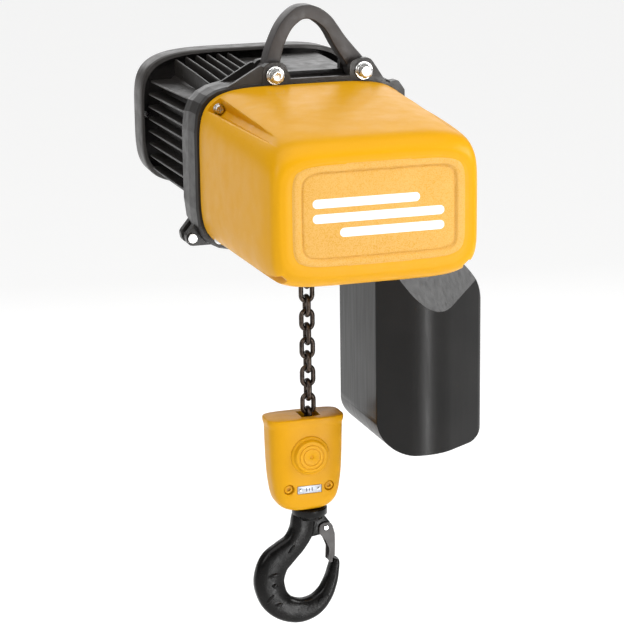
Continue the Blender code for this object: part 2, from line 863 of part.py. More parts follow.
def motor_inside():
    ring_of("Y", MOTOR_AXIS, 52, 142, 33.6, 52, "stator", "copper", 30)
    ring_of("Y", MOTOR_AXIS, 56, 138, 8.3, 33, "rotor_core", "machined_steel", 26)
    turned(
        "motor_shaft", "Y", MOTOR_AXIS,
        [
            (204, 0), (204, 6), (172, 6), (172, 8), (-30, 8), (-30, 7), (-43, 7),
            (-43, 4.5), (-124, 4.5), (-124, 0),
        ],
        "machined_steel", 20,
    )
    ring_of("Y", MOTOR_AXIS, 32.5, 43.5, 8.3, 15, "motor_bearing_front", "machined_steel", 16)
    ring_of("Y", MOTOR_AXIS, 158.5, 167.5, 8.3, 15, "motor_bearing_rear", "machined_steel", 16)
    shield = turned(
        "motor_end_shield", "Y", MOTOR_AXIS,
        [
            (170.5, 52), (MOTOR_BACK_Y - 12, 52), (MOTOR_BACK_Y - 12, 19), (158, 19), (158, 15.3),
            (167.9, 15.3), (167.9, 9), (170.5, 9),
        ],
        "cast_aluminium", 22, ring=True,
    )
    cut(shield, *(
        cylinder(
            f"air_{i}", "Y",
            (
                MOTOR_AXIS[0] + 35 * math.cos(math.radians(60 * i)),
                MOTOR_AXIS[1] + 35 * math.sin(math.radians(60 * i)),
            ), 140, 180, 8, None, 10,
        )
        for i in range(6)
    ))


def fan():
    hub = turned(
        "fan", "Y", MOTOR_AXIS,
        [(202, 6.3), (202, 16), (182, 20), (182, 60), (179.5, 60), (179.5, 6.3)],
        "black_plastic", 24, ring=True,
    )
    blades = []
    for i in range(8):
        blade = box(f"blade_{i}", (15, 181, -1.2), (57, 200, 1.2), None)
        place = Matrix.Translation(Vector((MOTOR_AXIS[0], 0, MOTOR_AXIS[1])) * MM)
        blade.data.transform(place @ Matrix.Rotation(math.radians(45 * i), 4, "Y"))
        blades.append(blade)
    fuse(hub, *blades)


FAN_COVER_RINGS = [
    (FAN_COVER_Y[0], 118.5, -50.5, -193.5, 4.6),
    (FAN_COVER_Y[0] + 4, 119.5, -49.5, -194.5, 4.6),
    (FAN_COVER_Y[1] - 14, 119.0, -50.0, -194.0, 4.5),
    (FAN_COVER_Y[1] - 4, 115.5, -53.5, -190.5, 4.3),
    (FAN_COVER_Y[1], 109.0, -60.0, -184.0, 4.1),
]
FAN_WALL = 2.5


def fan_cover():
    outer = [body_ring(*row) for row in FAN_COVER_RINGS]
    inner = [
        body_ring(y, half - FAN_WALL, top - FAN_WALL, bottom + FAN_WALL, 4.2)
        for y, half, top, bottom, power in (FAN_COVER_RINGS[0], *FAN_COVER_RINGS[2:4])
    ]
    inner[-1] = [(x, FAN_COVER_Y[1] - FAN_WALL, z) for x, y, z in inner[-1]]
    cover = loft("fan_cover", outer[::-1] + inner, "black_paint")
    lugs = [
        cylinder(f"lug_{side}", "Y", (BODY_X + side * 104, MOTOR_Z), MOTOR_BACK_Y + GAP, 214, 5.5, None, 16)
        for side in (-1, 1)
    ]
    ties = [
        box("tie_left", (BODY_X - 116, 174, MOTOR_Z - 2), (BODY_X - 102, 210, MOTOR_Z + 2), None),
        box("tie_right", (BODY_X + 102, 174, MOTOR_Z - 2), (BODY_X + 116, 210, MOTOR_Z + 2), None),
    ]
    fuse(cover, *(fuse(lug, tie) for lug, tie in zip(lugs, ties)))
    slots = []
    for ring, (radius, count) in enumerate(((26, 7), (46, 10))):
        for i in range(count):
            slot = box(f"slot_{ring}_{i}", (radius - 8, 200, -3.2), (radius + 8, 230, 3.2), None)
            place = Matrix.Translation(Vector((MOTOR_AXIS[0], 0, MOTOR_AXIS[1])) * MM)
            slot.data.transform(place @ Matrix.Rotation(2 * math.pi * i / count + 0.11, 4, "Y"))
            slots.append(slot)
    cut(cover, *slots)
    for name, side in (("left", -1), ("right", 1)):
        centre = (BODY_X + side * 104, MOTOR_Z)
        cut(
            cover,
            cylinder("head_room", "Y", centre, 212, 230, 4.8, None, 16),
            cylinder("hole", "Y", centre, 150, 230, 2.7, None, 10),
        )
        screw = cylinder(f"fan_cover_screw_{name}", "Y", centre, 212.3, 217, 4.4, "zinc", 16)
        fuse(screw, cylinder("shank", "Y", centre, MOTOR_BACK_Y + GAP, 214, 2.4, None, 10))


def terminal_box():
    cover = prism(
        "terminal_cover", "X",
        rounded([(52, -163, 6), (52, -87, 6), (130, -87, 6), (130, -163, 6)]),
        97.3, 122, "black_paint",
    )
    round_edges(cover, 3)
    for name, y in (("supply_gland", 74), ("control_gland", 108)):
        turned(
            name, "Z", (110, y),
            [(-163.3, 4), (-163.3, 10), (-170, 10), (-170, 8), (-180, 8), (-183, 5.5), (-183, 4)],
            "black_plastic", 14, ring=True,
        )


# ---------------------------------------------------------------- gear train supports, brake, electrics


def bearings_and_plate():
    ring_of("Y", WHEEL_AXIS, -19.7, -12.3, 9.0, 15, "wheel_bearing_front", "machined_steel", 16)
    ring_of("Y", WHEEL_AXIS, 12.3, 20.3, 9.0, 15, "wheel_bearing_rear", "machined_steel", 16)
    guide = [
        (WHEEL_AXIS[0] + radius * math.cos(angle), WHEEL_AXIS[1] + radius * math.sin(angle))
        for radius, turns in ((38.5, range(0, 21)), (34.9, range(20, -1, -1)))
        for angle in (math.radians(-18 + 10.8 * turn) for turn in turns)
    ]
    prism("chain_guide", "Y", guide, -11.5, 11.5, "machined_steel")
    plate = prism(
        "gear_plate", "Y",
        rounded([(-78, -205, 12), (-78, -100, 14), (-30, -96, 14), (72, -120, 14), (74, -212, 12)]),
        -79, -71, "cast_aluminium",
    )
    posts = [
        cylinder(f"post_{i}", "Y", centre, -72, JOINT_Y - GAP, 6, None, 16)
        for i, centre in enumerate(((-70, -112), (-68, -196), (64, -126), (76 - 12, -128)))
        if i < 3
    ]
    fuse(plate, *posts)
    cut(
        plate,
        cylinder("motor_hole", "Y", MOTOR_AXIS, -90, -60, 6, None),
        cylinder("middle_hole", "Y", MIDDLE_AXIS, -90, -60, 7.4, None),
        cylinder("wheel_hole", "Y", WHEEL_AXIS, -90, -60, 9.1, None),
    )


def brake():
    ring_of("Y", MOTOR_AXIS, -90, -85, 4.8, 34, "brake_disc", "machined_steel", 24)
    ring_of("Y", MOTOR_AXIS, -94.3, -90.3, 6, 34, "brake_armature", "machined_steel", 24)
    coil = ring_of("Y", MOTOR_AXIS, -127, -95.1, 6, 36, "brake_coil", "cast_aluminium", 24)
    arm = fuse(
        box("arm", (BODY_X - 5, -126, -170), (BODY_X + 5, -100, -155), None),
        box("leg", (BODY_X - 5, -126, -180), (BODY_X + 5, -79 - GAP, -168), None),
    )
    fuse(coil, arm)


BOARD_Y = -212.0


def electrics():
    box("control_board", (-80, BOARD_Y - 1, -200), (66, BOARD_Y + 1, -104), "board_green")
    contactor = box("contactor", (-60, BOARD_Y + 1 + GAP, -180), (-10, BOARD_Y + 38, -130), "black_plastic")
    round_edges(contactor, 1.5)
    core = box("transformer", (8, BOARD_Y + 1 + GAP, -176), (56, BOARD_Y + 42, -126), "copper")
    round_edges(core, 2)


# ---------------------------------------------------------------- container


def container_solid(name, inset, look):
    """The container's outer form, or with an inset its inner one."""
    plan = rounded([
        (55 + inset, 60 - inset, 4), (55 + inset, -58 + inset, 4), (110, -82 + inset, 22 - inset),
        (180 - inset, -38 + inset, 14 - inset / 2), (180 - inset, 60 - inset, 8),
    ])
    front = rounded([
        (55 + inset, -232 - inset, 1), (55 + inset, -447 + inset, 38 - inset),
        (180 - inset, -447 + inset, 20 - inset), (180 - inset, -232 - inset, 80 - inset),
    ])
    solid = prism(name, "Z", plan, -460, -220, look)
    keep(solid, prism("front", "Y", front, -100, 100, None))
    start = Vector((109, -80, -295))
    facing = Vector((0.274, -0.848, 0.454)).normalized()
    block = box("facet", (-150, -150, 0), (150, 150, 150), None)
    turn = facing.to_track_quat("Z", "Y").to_matrix().to_4x4()
    block.data.transform(Matrix.Translation((start - facing * inset) * MM) @ turn)
    return cut(solid, block)


def container():
    bin_outer = container_solid("chain_container", 0, "black_plastic")
    bin_inner = container_solid("inside", 3.0, None)
    cut(bin_outer, bin_inner, box("mouth", (60, -24, -245), (106, 56, -225), None))
    bracket = box("container_bracket", (62, 14, -231.5), (100, 22, -229), "zinc")
    fuse(bracket, box("tab", (62, 14, -262), (64.5, 22, -229.5), None))


# ---------------------------------------------------------------- hook block


BLOCK_RINGS = [
    # z, half width, half depth, power
    (BLOCK_TOP, 41.5, 20.0, 4.4),
    (-416.0, 41.6, 20.6, 4.2),
    (-422.0, 40.4, 20.4, 4.0),
    (-450.0, 39.5, 20.8, 4.0),
    (-472.0, 38.4, 20.6, 4.0),
    (-486.0, 36.8, 20.3, 3.9),
    (-495.0, 35.3, 19.8, 3.7),
    (-502.5, 32.6, 18.9, 3.5),
    (-508.5, 27.8, 17.0, 3.2),
    (-512.0, 21.5, 14.4, 2.9),
    (BLOCK_BOTTOM, 16.0, 12.2, 2.5),
]


def block_shells():
    """Two halves, front and rear, round the chain's end, the hook's nut and its bearing."""
    for name, side in (("block_front_shell", -1), ("block_rear_shell", 1)):
        rings = [
            [(BLOCK_X + x, y, z) for x, y in squircle(a, b, power, 24)]
            for z, a, b, power in BLOCK_RINGS
        ]
        shell = loft(name, rings, "yellow_paint")
        boss = turned(
            "boss", "Y", (BOSS_X, BOSS_Z),
            [(27, 0), (27, 11), (26, 12.5), (26, 15), (24.5, 17), (22.5, 19.5), (16, 20.5), (16, 0)],
            None, 28,
        )
        if side < 0:
            boss.data.transform(Matrix.Diagonal((1, -1, 1, 1)))
            boss.data.flip_normals()
        fuse(shell, boss)
        far = (GAP / 2, 60) if side < 0 else (-60, -GAP / 2)
        cut(
            shell,
            box("other_half", (-80, far[0] - GAP, -600), (80, far[1] + GAP, -300), None),
            box("chain_room", (-10.5, -10.5, -449), (10.5, 10.5, -300), None),
            cylinder("nut_room", "Z", (0, 0), -494.3, -466, 12.6, None),
            cylinder("shank_hole", "Z", (0, 0), -540, -480, 9.5, None),
            cylinder("pin_hole", "Y", (0, PIN_Z), -16, 16, 3.3, None, 16),
        )
        for i in (-1, 1):
            centre = (BLOCK_X + i * BLOCK_SCREW_DX, BLOCK_SCREW_Z)
            cut(shell, cylinder("screw_hole", "Y", centre, -30, 13, 2.8, None, 10))
            if side < 0:
                cut(shell, cylinder("screw_room", "Y", centre, -30, -14.5, 5.3, None, 20))
        if side < 0:
            low = (BLOCK_X - 13.5, -30, PLATE_Z - 4.5)
            cut(shell, box("plate_seat", low, (BLOCK_X + 13.5, -19.0, PLATE_Z + 4.5), None))
    cylinder("chain_pin", "Y", (0, PIN_Z), -15.5, 15.5, 3.0, "machined_steel", 16)
    for name, i in (("left", -1), ("right", 1)):
        centre = (BLOCK_X + i * BLOCK_SCREW_DX, BLOCK_SCREW_Z)
        screw = cylinder(f"block_screw_{name}", "Y", centre, -17.8, -14.5 - GAP, 4.9, "zinc", 16)
        fuse(screw, cylinder("shank", "Y", centre, -15.5, 12.5, 2.5, None, 10))
        cut(screw, cylinder("socket", "Y", centre, -20, -16, 2.4, None, 6))
    box(
        "capacity_plate", (BLOCK_X - 13, -20.1, PLATE_Z - 4),
        (BLOCK_X + 13, -19.0 - GAP, PLATE_Z + 4), "plate_metal",
    )
    ring_of("Z", (0, 0), -494, -487.3, 8.4, 12.3, "thrust_bearing", "machined_steel", 20)


HOOK_MIDDLE = [
    # x, z, half width along the bar's middle
    (-6.0, -518.0, 12.6),
    (-7.4, -527.5, 12.8),
    (-9.6, -540, 13.2),
    (-17.7, -553.2, 12.0),
    (-28.8, -562.7, 14.3),
    (-40.3, -573.1, 16.4),
    (-45.7, -587.6, 16.6),
    (-45.2, -599.7, 16.3),
    (-39.9, -613.5, 15.4),
    (-28.3, -624.4, 14.0),
    (-12.1, -629, 13.1),
    (3.7, -624.9, 11.3),
    (15.3, -613.8, 8.8),
    (22.2, -599.3, 7.0),
    (25.3, -587.2, 5.7),
    (27, -579, 4.6),
    (27.5, -575, 3.4),
]


def hook():
    hook_bar = forged("hook", HOOK_MIDDLE, 9.5, "black_steel", 1)
    shank = turned(
        "shank", "Z", (0, 0),
        [(-468, 0), (-468, 8), (-513.7, 8), (-514.0, 18.4), (-521.6, 18.8), (-525.5, 14), (-525.5, 0)],
        None, 28,
    )
    ear = prism(
        "ear", "Y",
        rounded([(-6, -548, 3), (-6, -523, 3), (14, -523, 6), (23.5, -536, 6.5), (16, -545, 6)]),
        -4.6, 4.6, None,
    )
    fuse(hook_bar, shank)
    fuse(hook_bar, ear)
    cut(hook_bar, cylinder("pivot_hole", "Y", LATCH_PIVOT, -20, 20, 2.6, None, 10))
    nut = cylinder("hook_nut", "Z", (0, 0), -487, -475, 12.2, "zinc", 6)
    cut(nut, cylinder("bore", "Z", (0, 0), -500, -470, 8.3, None))


def latch():
    """A bent sheet latch that straddles the hook's ear and bears behind the hook's tip."""
    x, z = LATCH_PIVOT
    outline = rounded([
        (x - 7.2, z + 5, 5), (x + 6.0, z + 6, 6), (x + 9.6, z - 7.5, 4), (25.6, -557.0, 3),
        (25.3, -569.5, 1), (22.9, -572.0, 0.5), (22.4, -577.0, 0.5), (19.2, -576.6, 0.5),
        (19.8, -562.0, 3), (16.0, -552.5, 3), (8.4, -543.4, 2),
    ])
    latch_body = prism("hook_latch", "Y", outline, -7.4, 7.4, "black_steel")
    hollow = [(px - 2.2, pz - 0.07) for px, pz in outline]
    cut(latch_body, prism("hollow", "Y", hollow, -5.2, 5.2, None))
    cut(latch_body, box("ear_room", (-5, -5.2, z - 9.5), (x + 20, 5.2, z + 20), None))
    cut(latch_body, cylinder("hole", "Y", LATCH_PIVOT, -20, 20, 2.6, None, 16))
    cylinder("latch_pin", "Y", LATCH_PIVOT, -8.6, 8.6, 2.3, "zinc", 16)


def limit_lever():
    """The lever round the fall that the rising block lifts to switch the hoist off."""
    lever = box("limit_lever", (-28, -14, -224.5), (14.5, 14, -221.5), "machined_steel")
    fuse(lever, cylinder("barrel", "Y", (-28.5, -223), -14, 14, 3.2, None, 16))
    cut(lever, box("hole", (-11, -10.8, -240), (11, 10.8, -200), None))


# ---------------------------------------------------------------- assembly


def parent_to_axis(axis_name, position, children):
    empty = bpy.data.objects.new(axis_name, None)
    PARTS.objects.link(empty)
    empty.location = Vector(position) * MM
    bpy.context.view_layer.update()
    for child in children:
        obj = bpy.data.objects[child]
        obj.parent = empty
        obj.matrix_parent_inverse = empty.matrix_world.inverted()


def shade(obj):
    obj.data.shade_smooth()
    obj.data.set_sharp_from_angle(angle=math.radians(35))


def build():
    suspension_eye()
    eye_bolts()
    main_housing()
    lug_pin()
    cover_gasket()
    front_cover()
    cover_screws()
    motor_housing()
    motor_inside()
    fan()
    fan_cover()
    terminal_box()
    bearings_and_plate()
    gears()
    load_wheel()
    brake()
    electrics()
    hanging_fall()
    chain_on_wheel()
    slack_fall()
    container()
    block_shells()
    hook()
    latch()
    limit_lever()
    moving = {
        "motor_axis": ((MOTOR_AXIS[0], 0, MOTOR_AXIS[1]),
                       ("motor_shaft", "rotor_core", "motor_pinion", "fan", "brake_disc")),
        "armature_axis": ((MOTOR_AXIS[0], -93, MOTOR_AXIS[1]), ("brake_armature",)),
        "middle_axis": ((MIDDLE_AXIS[0], 0, MIDDLE_AXIS[1]),
                        ("intermediate_gear", "intermediate_shaft", "slip_clutch")),
        "wheel_axis": ((WHEEL_AXIS[0], 0, WHEEL_AXIS[1]),
                       ("load_wheel", "output_gear", "wheel_chain")),
        "lever_axis": ((-28.5, 0, -223), ("limit_lever",)),
        "fall_axis": ((0, 0, FALL_TOP),
                      ("load_chain", "block_front_shell", "block_rear_shell", "chain_pin",
                       "block_screw_left", "block_screw_right", "capacity_plate", "thrust_bearing")),
        "hook_axis": ((0, 0, -512), ("hook", "hook_nut", "latch_pin")),
        "latch_axis": ((LATCH_PIVOT[0], 0, LATCH_PIVOT[1]), ("hook_latch",)),
    }
    for axis_name, (position, children) in moving.items():
        parent_to_axis(axis_name, position, children)
    for obj in PARTS.objects:
        if obj.type == "MESH":
            shade(obj)


build()
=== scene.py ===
"""Looks for the electric chain hoist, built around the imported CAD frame.

Every piece is in the frame's own coordinates: +Z up, the yellow cover towards -Y, the origin inside
the top of the suspension eye. Sizes are in millimetres, and MM turns them into metres.
"""

import json
import math

import bmesh
import bpy
from mathutils import Matrix, Vector


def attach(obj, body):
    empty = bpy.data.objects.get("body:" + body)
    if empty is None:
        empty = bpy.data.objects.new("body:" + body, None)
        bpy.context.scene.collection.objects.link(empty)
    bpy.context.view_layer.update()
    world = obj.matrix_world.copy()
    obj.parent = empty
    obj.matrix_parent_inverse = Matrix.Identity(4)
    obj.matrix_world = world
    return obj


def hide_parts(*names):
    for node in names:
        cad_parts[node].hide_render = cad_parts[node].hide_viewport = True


MM = 0.001
TAU = 2 * math.pi

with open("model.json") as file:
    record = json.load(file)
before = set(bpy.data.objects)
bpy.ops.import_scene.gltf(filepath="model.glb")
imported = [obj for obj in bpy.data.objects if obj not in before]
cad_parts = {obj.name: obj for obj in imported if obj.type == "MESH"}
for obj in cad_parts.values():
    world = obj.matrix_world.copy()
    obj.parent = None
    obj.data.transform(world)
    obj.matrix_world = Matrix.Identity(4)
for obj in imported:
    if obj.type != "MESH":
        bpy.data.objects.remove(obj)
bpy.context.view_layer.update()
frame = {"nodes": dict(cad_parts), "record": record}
NODES = frame["nodes"]

# Places that the CAD fixes, in millimetres
BODY_X = -7.0
BODY_Z = -144.0
MOTOR_AXIS = (BODY_X, -122.0)
WHEEL_AXIS = (24.2, -176.0)
FALL_TOP = -176.0
CHAIN_PITCH = 15.0
WIRE = 2.5
LEFT_BOLT = (-36.0, -53.0)
RIGHT_BOLT = (57.0, -53.0)
COVER_SCREWS = [(-98.0, -81.0), (84.0, -81.0), (-100.0, -211.0), (86.0, -211.0)]
BLOCK_X = -6.0
BOSS = (-5.2, -451.4)
BLOCK_SCREWS = [(-28.0, -487.0), (16.0, -487.0)]
PLATE_Z = -488.4
PLATE_HALF = 13


# ---------------------------------------------------------------- materials


class Look:
    """A node material under construction: one Principled shader and the nodes that feed it."""

    def __init__(self, name, colour, roughness, metallic=0.0):
        self.material = bpy.data.materials.new(name)
        self.material.use_nodes = True
        self.tree = self.material.node_tree
        self.tree.nodes.clear()
        output = self.tree.nodes.new("ShaderNodeOutputMaterial")
        self.shader = self.tree.nodes.new("ShaderNodeBsdfPrincipled")
        self.tree.links.new(self.shader.outputs["BSDF"], output.inputs["Surface"])
        self.place = self.tree.nodes.new("ShaderNodeTexCoord").outputs["Object"]
        self.colour = (*colour, 1.0)
        self.colour_socket = None
        self.normal_socket = None
        self.shader.inputs["Base Color"].default_value = self.colour
        self.shader.inputs["Roughness"].default_value = roughness
        self.shader.inputs["Metallic"].default_value = metallic
        self.roughness = roughness

    def set(self, **values):
        for name, value in values.items():
            self.shader.inputs[name.replace("_", " ")].default_value = value
        return self

    def noise(self, size, detail=3.0, stretch=(1, 1, 1), roughness=0.55):
        """A noise whose features are about size millimetres across."""
        node = self.tree.nodes.new("ShaderNodeTexNoise")
        node.inputs["Scale"].default_value = 1.0 / (size * MM)
        node.inputs["Detail"].default_value = detail
        node.inputs["Roughness"].default_value = roughness
        place = self.place
        if stretch != (1, 1, 1):
            mapping = self.tree.nodes.new("ShaderNodeMapping")
            mapping.inputs["Scale"].default_value = stretch
            self.tree.links.new(place, mapping.inputs["Vector"])
            place = mapping.outputs["Vector"]
        self.tree.links.new(place, node.inputs["Vector"])
        return node.outputs["Fac"]

    def ramp(self, value, low, high, out_low=0.0, out_high=1.0):
        node = self.tree.nodes.new("ShaderNodeMapRange")
        node.inputs["From Min"].default_value = low
        node.inputs["From Max"].default_value = high
        node.inputs["To Min"].default_value = out_low
        node.inputs["To Max"].default_value = out_high
        self.tree.links.new(value, node.inputs["Value"])
        return node.outputs["Result"]

    def tint(self, factor, colour, blend="MIX"):
        """Mixes another colour in where the factor is high."""
        node = self.tree.nodes.new("ShaderNodeMix")
        node.data_type = "RGBA"
        node.blend_type = blend
        self.tree.links.new(factor, node.inputs["Factor"])
        if self.colour_socket is None:
            node.inputs[6].default_value = self.colour
        else:
            self.tree.links.new(self.colour_socket, node.inputs[6])
        node.inputs[7].default_value = (*colour, 1.0)
        self.colour_socket = node.outputs[2]
        self.tree.links.new(self.colour_socket, self.shader.inputs["Base Color"])
        return self

    def vary_roughness(self, value, low, high, out_low, out_high):
        self.tree.links.new(
            self.ramp(value, low, high, out_low, out_high), self.shader.inputs["Roughness"]
        )
        return self

    def bump(self, height, distance, strength=1.0):
        """Relief of that many millimetres."""
        node = self.tree.nodes.new("ShaderNodeBump")
        node.inputs["Strength"].default_value = strength
        node.inputs["Distance"].default_value = distance * MM
        self.tree.links.new(height, node.inputs["Height"])
        if self.normal_socket is not None:
            self.tree.links.new(self.normal_socket, node.inputs["Normal"])
        self.normal_socket = node.outputs["Normal"]
        self.tree.links.new(self.normal_socket, self.shader.inputs["Normal"])
        return self

    def edges(self, low=0.52, high=0.6):
        """Where the surface is convex, for wear."""
        geometry = self.tree.nodes.new("ShaderNodeNewGeometry")
        return self.ramp(geometry.outputs["Pointiness"], low, high)

    def both(self, first, second):
        node = self.tree.nodes.new("ShaderNodeMath")
        node.operation = "MULTIPLY"
        self.tree.links.new(first, node.inputs[0])
        self.tree.links.new(second, node.inputs[1])
        return node.outputs["Value"]


def yellow_paint():
    look = Look("yellow_paint", (0.62, 0.3, 0.003), 0.4)
    look.set(Specular_IOR_Level=0.13)
    look.tint(look.ramp(look.noise(70, 4), 0.35, 0.75, 0.0, 0.28), (0.6, 0.272, 0.003))
    look.tint(look.ramp(look.noise(1.1, 2), 0.52, 0.72, 0.0, 0.2), (0.68, 0.37, 0.02))
    look.vary_roughness(look.noise(18, 5), 0.3, 0.7, 0.3, 0.43)
    look.bump(look.noise(1.3, 2), 0.035).bump(look.noise(9, 2), 0.05)
    return look.material


def panel_paint():
    look = Look("panel_paint", (0.62, 0.345, 0.08), 0.5)
    look.set(Specular_IOR_Level=0.25)
    look.tint(look.ramp(look.noise(0.9, 2), 0.45, 0.65), (0.56, 0.28, 0.02))
    look.tint(look.ramp(look.noise(45, 4), 0.4, 0.7, 0.0, 0.3), (0.68, 0.4, 0.11))
    look.vary_roughness(look.noise(1.4, 3), 0.3, 0.7, 0.42, 0.6)
    look.bump(look.noise(0.95, 2), 0.12)
    return look.material


def black_paint(name, colour=(0.013, 0.0115, 0.0105), roughness=0.34, grain=1.0):
    look = Look(name, colour, roughness)
    look.set(Specular_IOR_Level=0.42)
    look.tint(look.ramp(look.noise(35, 5), 0.35, 0.7, 0.0, 0.6), tuple(c * 1.7 for c in colour))
    look.vary_roughness(look.noise(12, 5), 0.3, 0.7, roughness - 0.07, roughness + 0.1)
    look.tint(look.ramp(look.noise(5, 6), 0.68, 0.76, 0.0, 0.4), (0.09, 0.084, 0.08))
    look.bump(look.noise(1.6 * grain, 3), 0.07 * grain).bump(look.noise(14, 3), 0.12)
    return look.material


def container_plastic():
    look = Look("container_plastic", (0.005, 0.0047, 0.0045), 0.36)
    look.set(Specular_IOR_Level=0.24)
    look.tint(look.ramp(look.noise(60, 5), 0.35, 0.7, 0.0, 0.6), (0.011, 0.0102, 0.0098))
    streaks = look.noise(4, 4, stretch=(1, 1, 0.06))
    look.vary_roughness(streaks, 0.3, 0.7, 0.3, 0.4)
    look.bump(look.noise(0.9, 2), 0.03).bump(streaks, 0.03)
    return look.material


def chain_steel():
    look = Look("chain_steel", (0.05, 0.037, 0.029), 0.36, 0.85)
    look.tint(look.ramp(look.noise(7, 4), 0.4, 0.65), (0.025, 0.019, 0.016))
    worn = look.both(look.edges(0.52, 0.6), look.ramp(look.noise(2.5, 4), 0.4, 0.6))
    look.tint(worn, (0.17, 0.13, 0.105))
    look.vary_roughness(look.noise(3, 4), 0.3, 0.7, 0.26, 0.5)
    look.bump(look.noise(1.2, 3), 0.06)
    return look.material


def forged_black():
    look = Look("forged_black", (0.0022, 0.002, 0.002), 0.2)
    look.set(Specular_IOR_Level=0.16)
    look.tint(look.ramp(look.noise(16, 5), 0.4, 0.7, 0.0, 0.7), (0.008, 0.0072, 0.0068))
    look.vary_roughness(look.noise(8, 5), 0.3, 0.7, 0.16, 0.32)
    look.tint(look.ramp(look.noise(3, 6), 0.66, 0.74, 0.0, 0.5), (0.07, 0.065, 0.06))
    look.bump(look.noise(2.6, 4), 0.1).bump(look.noise(11, 3), 0.22)
    return look.material


def zinc():
    look = Look("bright_zinc", (0.66, 0.66, 0.66), 0.24, 1.0)
    look.tint(look.ramp(look.noise(3.5, 4), 0.4, 0.7, 0.0, 0.7), (0.5, 0.49, 0.46))
    look.tint(look.ramp(look.noise(1.4, 3), 0.6, 0.75, 0.0, 0.8), (0.3, 0.28, 0.25))
    look.vary_roughness(look.noise(2, 4), 0.3, 0.7, 0.16, 0.34)
    look.bump(look.noise(0.8, 3), 0.02)
    return look.material


def machined(name="machined_steel", colour=(0.42, 0.42, 0.42)):
    look = Look(name, colour, 0.28, 1.0)
    turned = look.noise(1.2, 4, stretch=(0.15, 6, 0.15))
    look.tint(look.ramp(turned, 0.3, 0.7, 0.0, 0.5), tuple(c * 0.7 for c in colour))
    look.vary_roughness(turned, 0.3, 0.7, 0.2, 0.36)
    look.bump(turned, 0.02)
    return look.material


def bare_casting():
    look = Look("bare_casting", (0.46, 0.46, 0.45), 0.5, 0.9)
    look.tint(look.ramp(look.noise(9, 5), 0.4, 0.7, 0.0, 0.6), (0.33, 0.33, 0.32))
    look.vary_roughness(look.noise(3, 4), 0.3, 0.7, 0.42, 0.62)
    look.bump(look.noise(1.5, 3), 0.08)
    return look.material


def wound_steel():
    look = Look("wound_steel", (0.42, 0.2, 0.09), 0.42, 0.7)
    layers = look.noise(1.0, 2, stretch=(0.1, 8, 0.1))
    look.tint(look.ramp(layers, 0.35, 0.65), (0.2, 0.14, 0.1))
    look.vary_roughness(layers, 0.3, 0.7, 0.34, 0.52).bump(layers, 0.12)
    return look.material


def circuit_board():
    look = Look("circuit_board", (0.02, 0.12, 0.05), 0.34)
    look.tint(look.ramp(look.noise(4, 1), 0.56, 0.58), (0.05, 0.24, 0.1))
    look.vary_roughness(look.noise(5, 3), 0.3, 0.7, 0.28, 0.42).bump(look.noise(4, 1), 0.04)
    return look.material


def rubber():
    look = Look("seal_rubber", (0.018, 0.018, 0.018), 0.75)
    look.tint(look.ramp(look.noise(3, 4), 0.4, 0.7), (0.03, 0.03, 0.03))
    look.vary_roughness(look.noise(2, 3), 0.3, 0.7, 0.68, 0.85).bump(look.noise(0.7, 2), 0.05)
    return look.material


def moulded_black():
    look = Look("moulded_black", (0.02, 0.02, 0.021), 0.45)
    look.tint(look.ramp(look.noise(12, 4), 0.4, 0.7), (0.032, 0.031, 0.031))
    look.vary_roughness(look.noise(4, 4), 0.3, 0.7, 0.38, 0.52).bump(look.noise(0.6, 2), 0.04)
    return look.material


def plate_metal():
    look = Look("plate_metal", (0.4, 0.42, 0.46), 0.42, 0.5)
    brushed = look.noise(0.9, 4, stretch=(0.08, 1, 3))
    look.tint(look.ramp(brushed, 0.35, 0.7, 0.0, 0.6), (0.32, 0.34, 0.38))
    look.vary_roughness(brushed, 0.3, 0.7, 0.28, 0.44).bump(brushed, 0.02)
    return look.material


def printed(name, colour):
    look = Look(name, colour, 0.42)
    look.tint(look.ramp(look.noise(2.0, 4), 0.4, 0.7, 0.0, 0.5), tuple(c * 0.88 for c in colour))
    look.vary_roughness(look.noise(3, 3), 0.3, 0.7, 0.36, 0.5).bump(look.noise(1.1, 2), 0.05)
    return look.material


LOOKS = {
    "yellow": yellow_paint(),
    "panel": panel_paint(),
    "casting": black_paint("casting_black"),
    "sheet": black_paint("sheet_black", (0.034, 0.031, 0.029), 0.38, 0.7),
    "bar": black_paint("bar_black", (0.036, 0.032, 0.031), 0.38, 0.8),
    "container": container_plastic(),
    "chain": chain_steel(),
    "forged": forged_black(),
    "zinc": zinc(),
    "machined": machined(),
    "bare": bare_casting(),
    "wound": wound_steel(),
    "board": circuit_board(),
    "rubber": rubber(),
    "moulded": moulded_black(),
    "plate": plate_metal(),
    "white_print": printed("white_print", (0.82, 0.82, 0.8)),
    "dark_print": printed("dark_print", (0.05, 0.05, 0.08)),
}

SLOT_LOOKS = {
    "yellow_paint": "yellow",
    "black_casting": "casting",
    "black_steel": "forged",
    "black_sheet": "sheet",
    "black_plastic": "moulded",
    "bright_zinc": "zinc",
    "machined_steel": "machined",
    "bare_casting": "bare",
    "wound_steel": "wound",
    "circuit_board": "board",
    "seal_rubber": "rubber",
    "plate_metal": "plate",
}


# ---------------------------------------------------------------- mesh tools


def add(name, mesh, look=None):
    obj = bpy.data.objects.new(name, mesh)
    bpy.context.scene.collection.objects.link(obj)
    if look:
        mesh.materials.clear()
        mesh.materials.append(LOOKS[look])
    return obj


def from_bmesh(name, bm, look=None, recalc=True):
    if recalc:
        bmesh.ops.recalc_face_normals(bm, faces=bm.faces)
    mesh = bpy.data.meshes.new(name)
    bm.to_mesh(mesh)
    bm.free()
    return add(name, mesh, look)


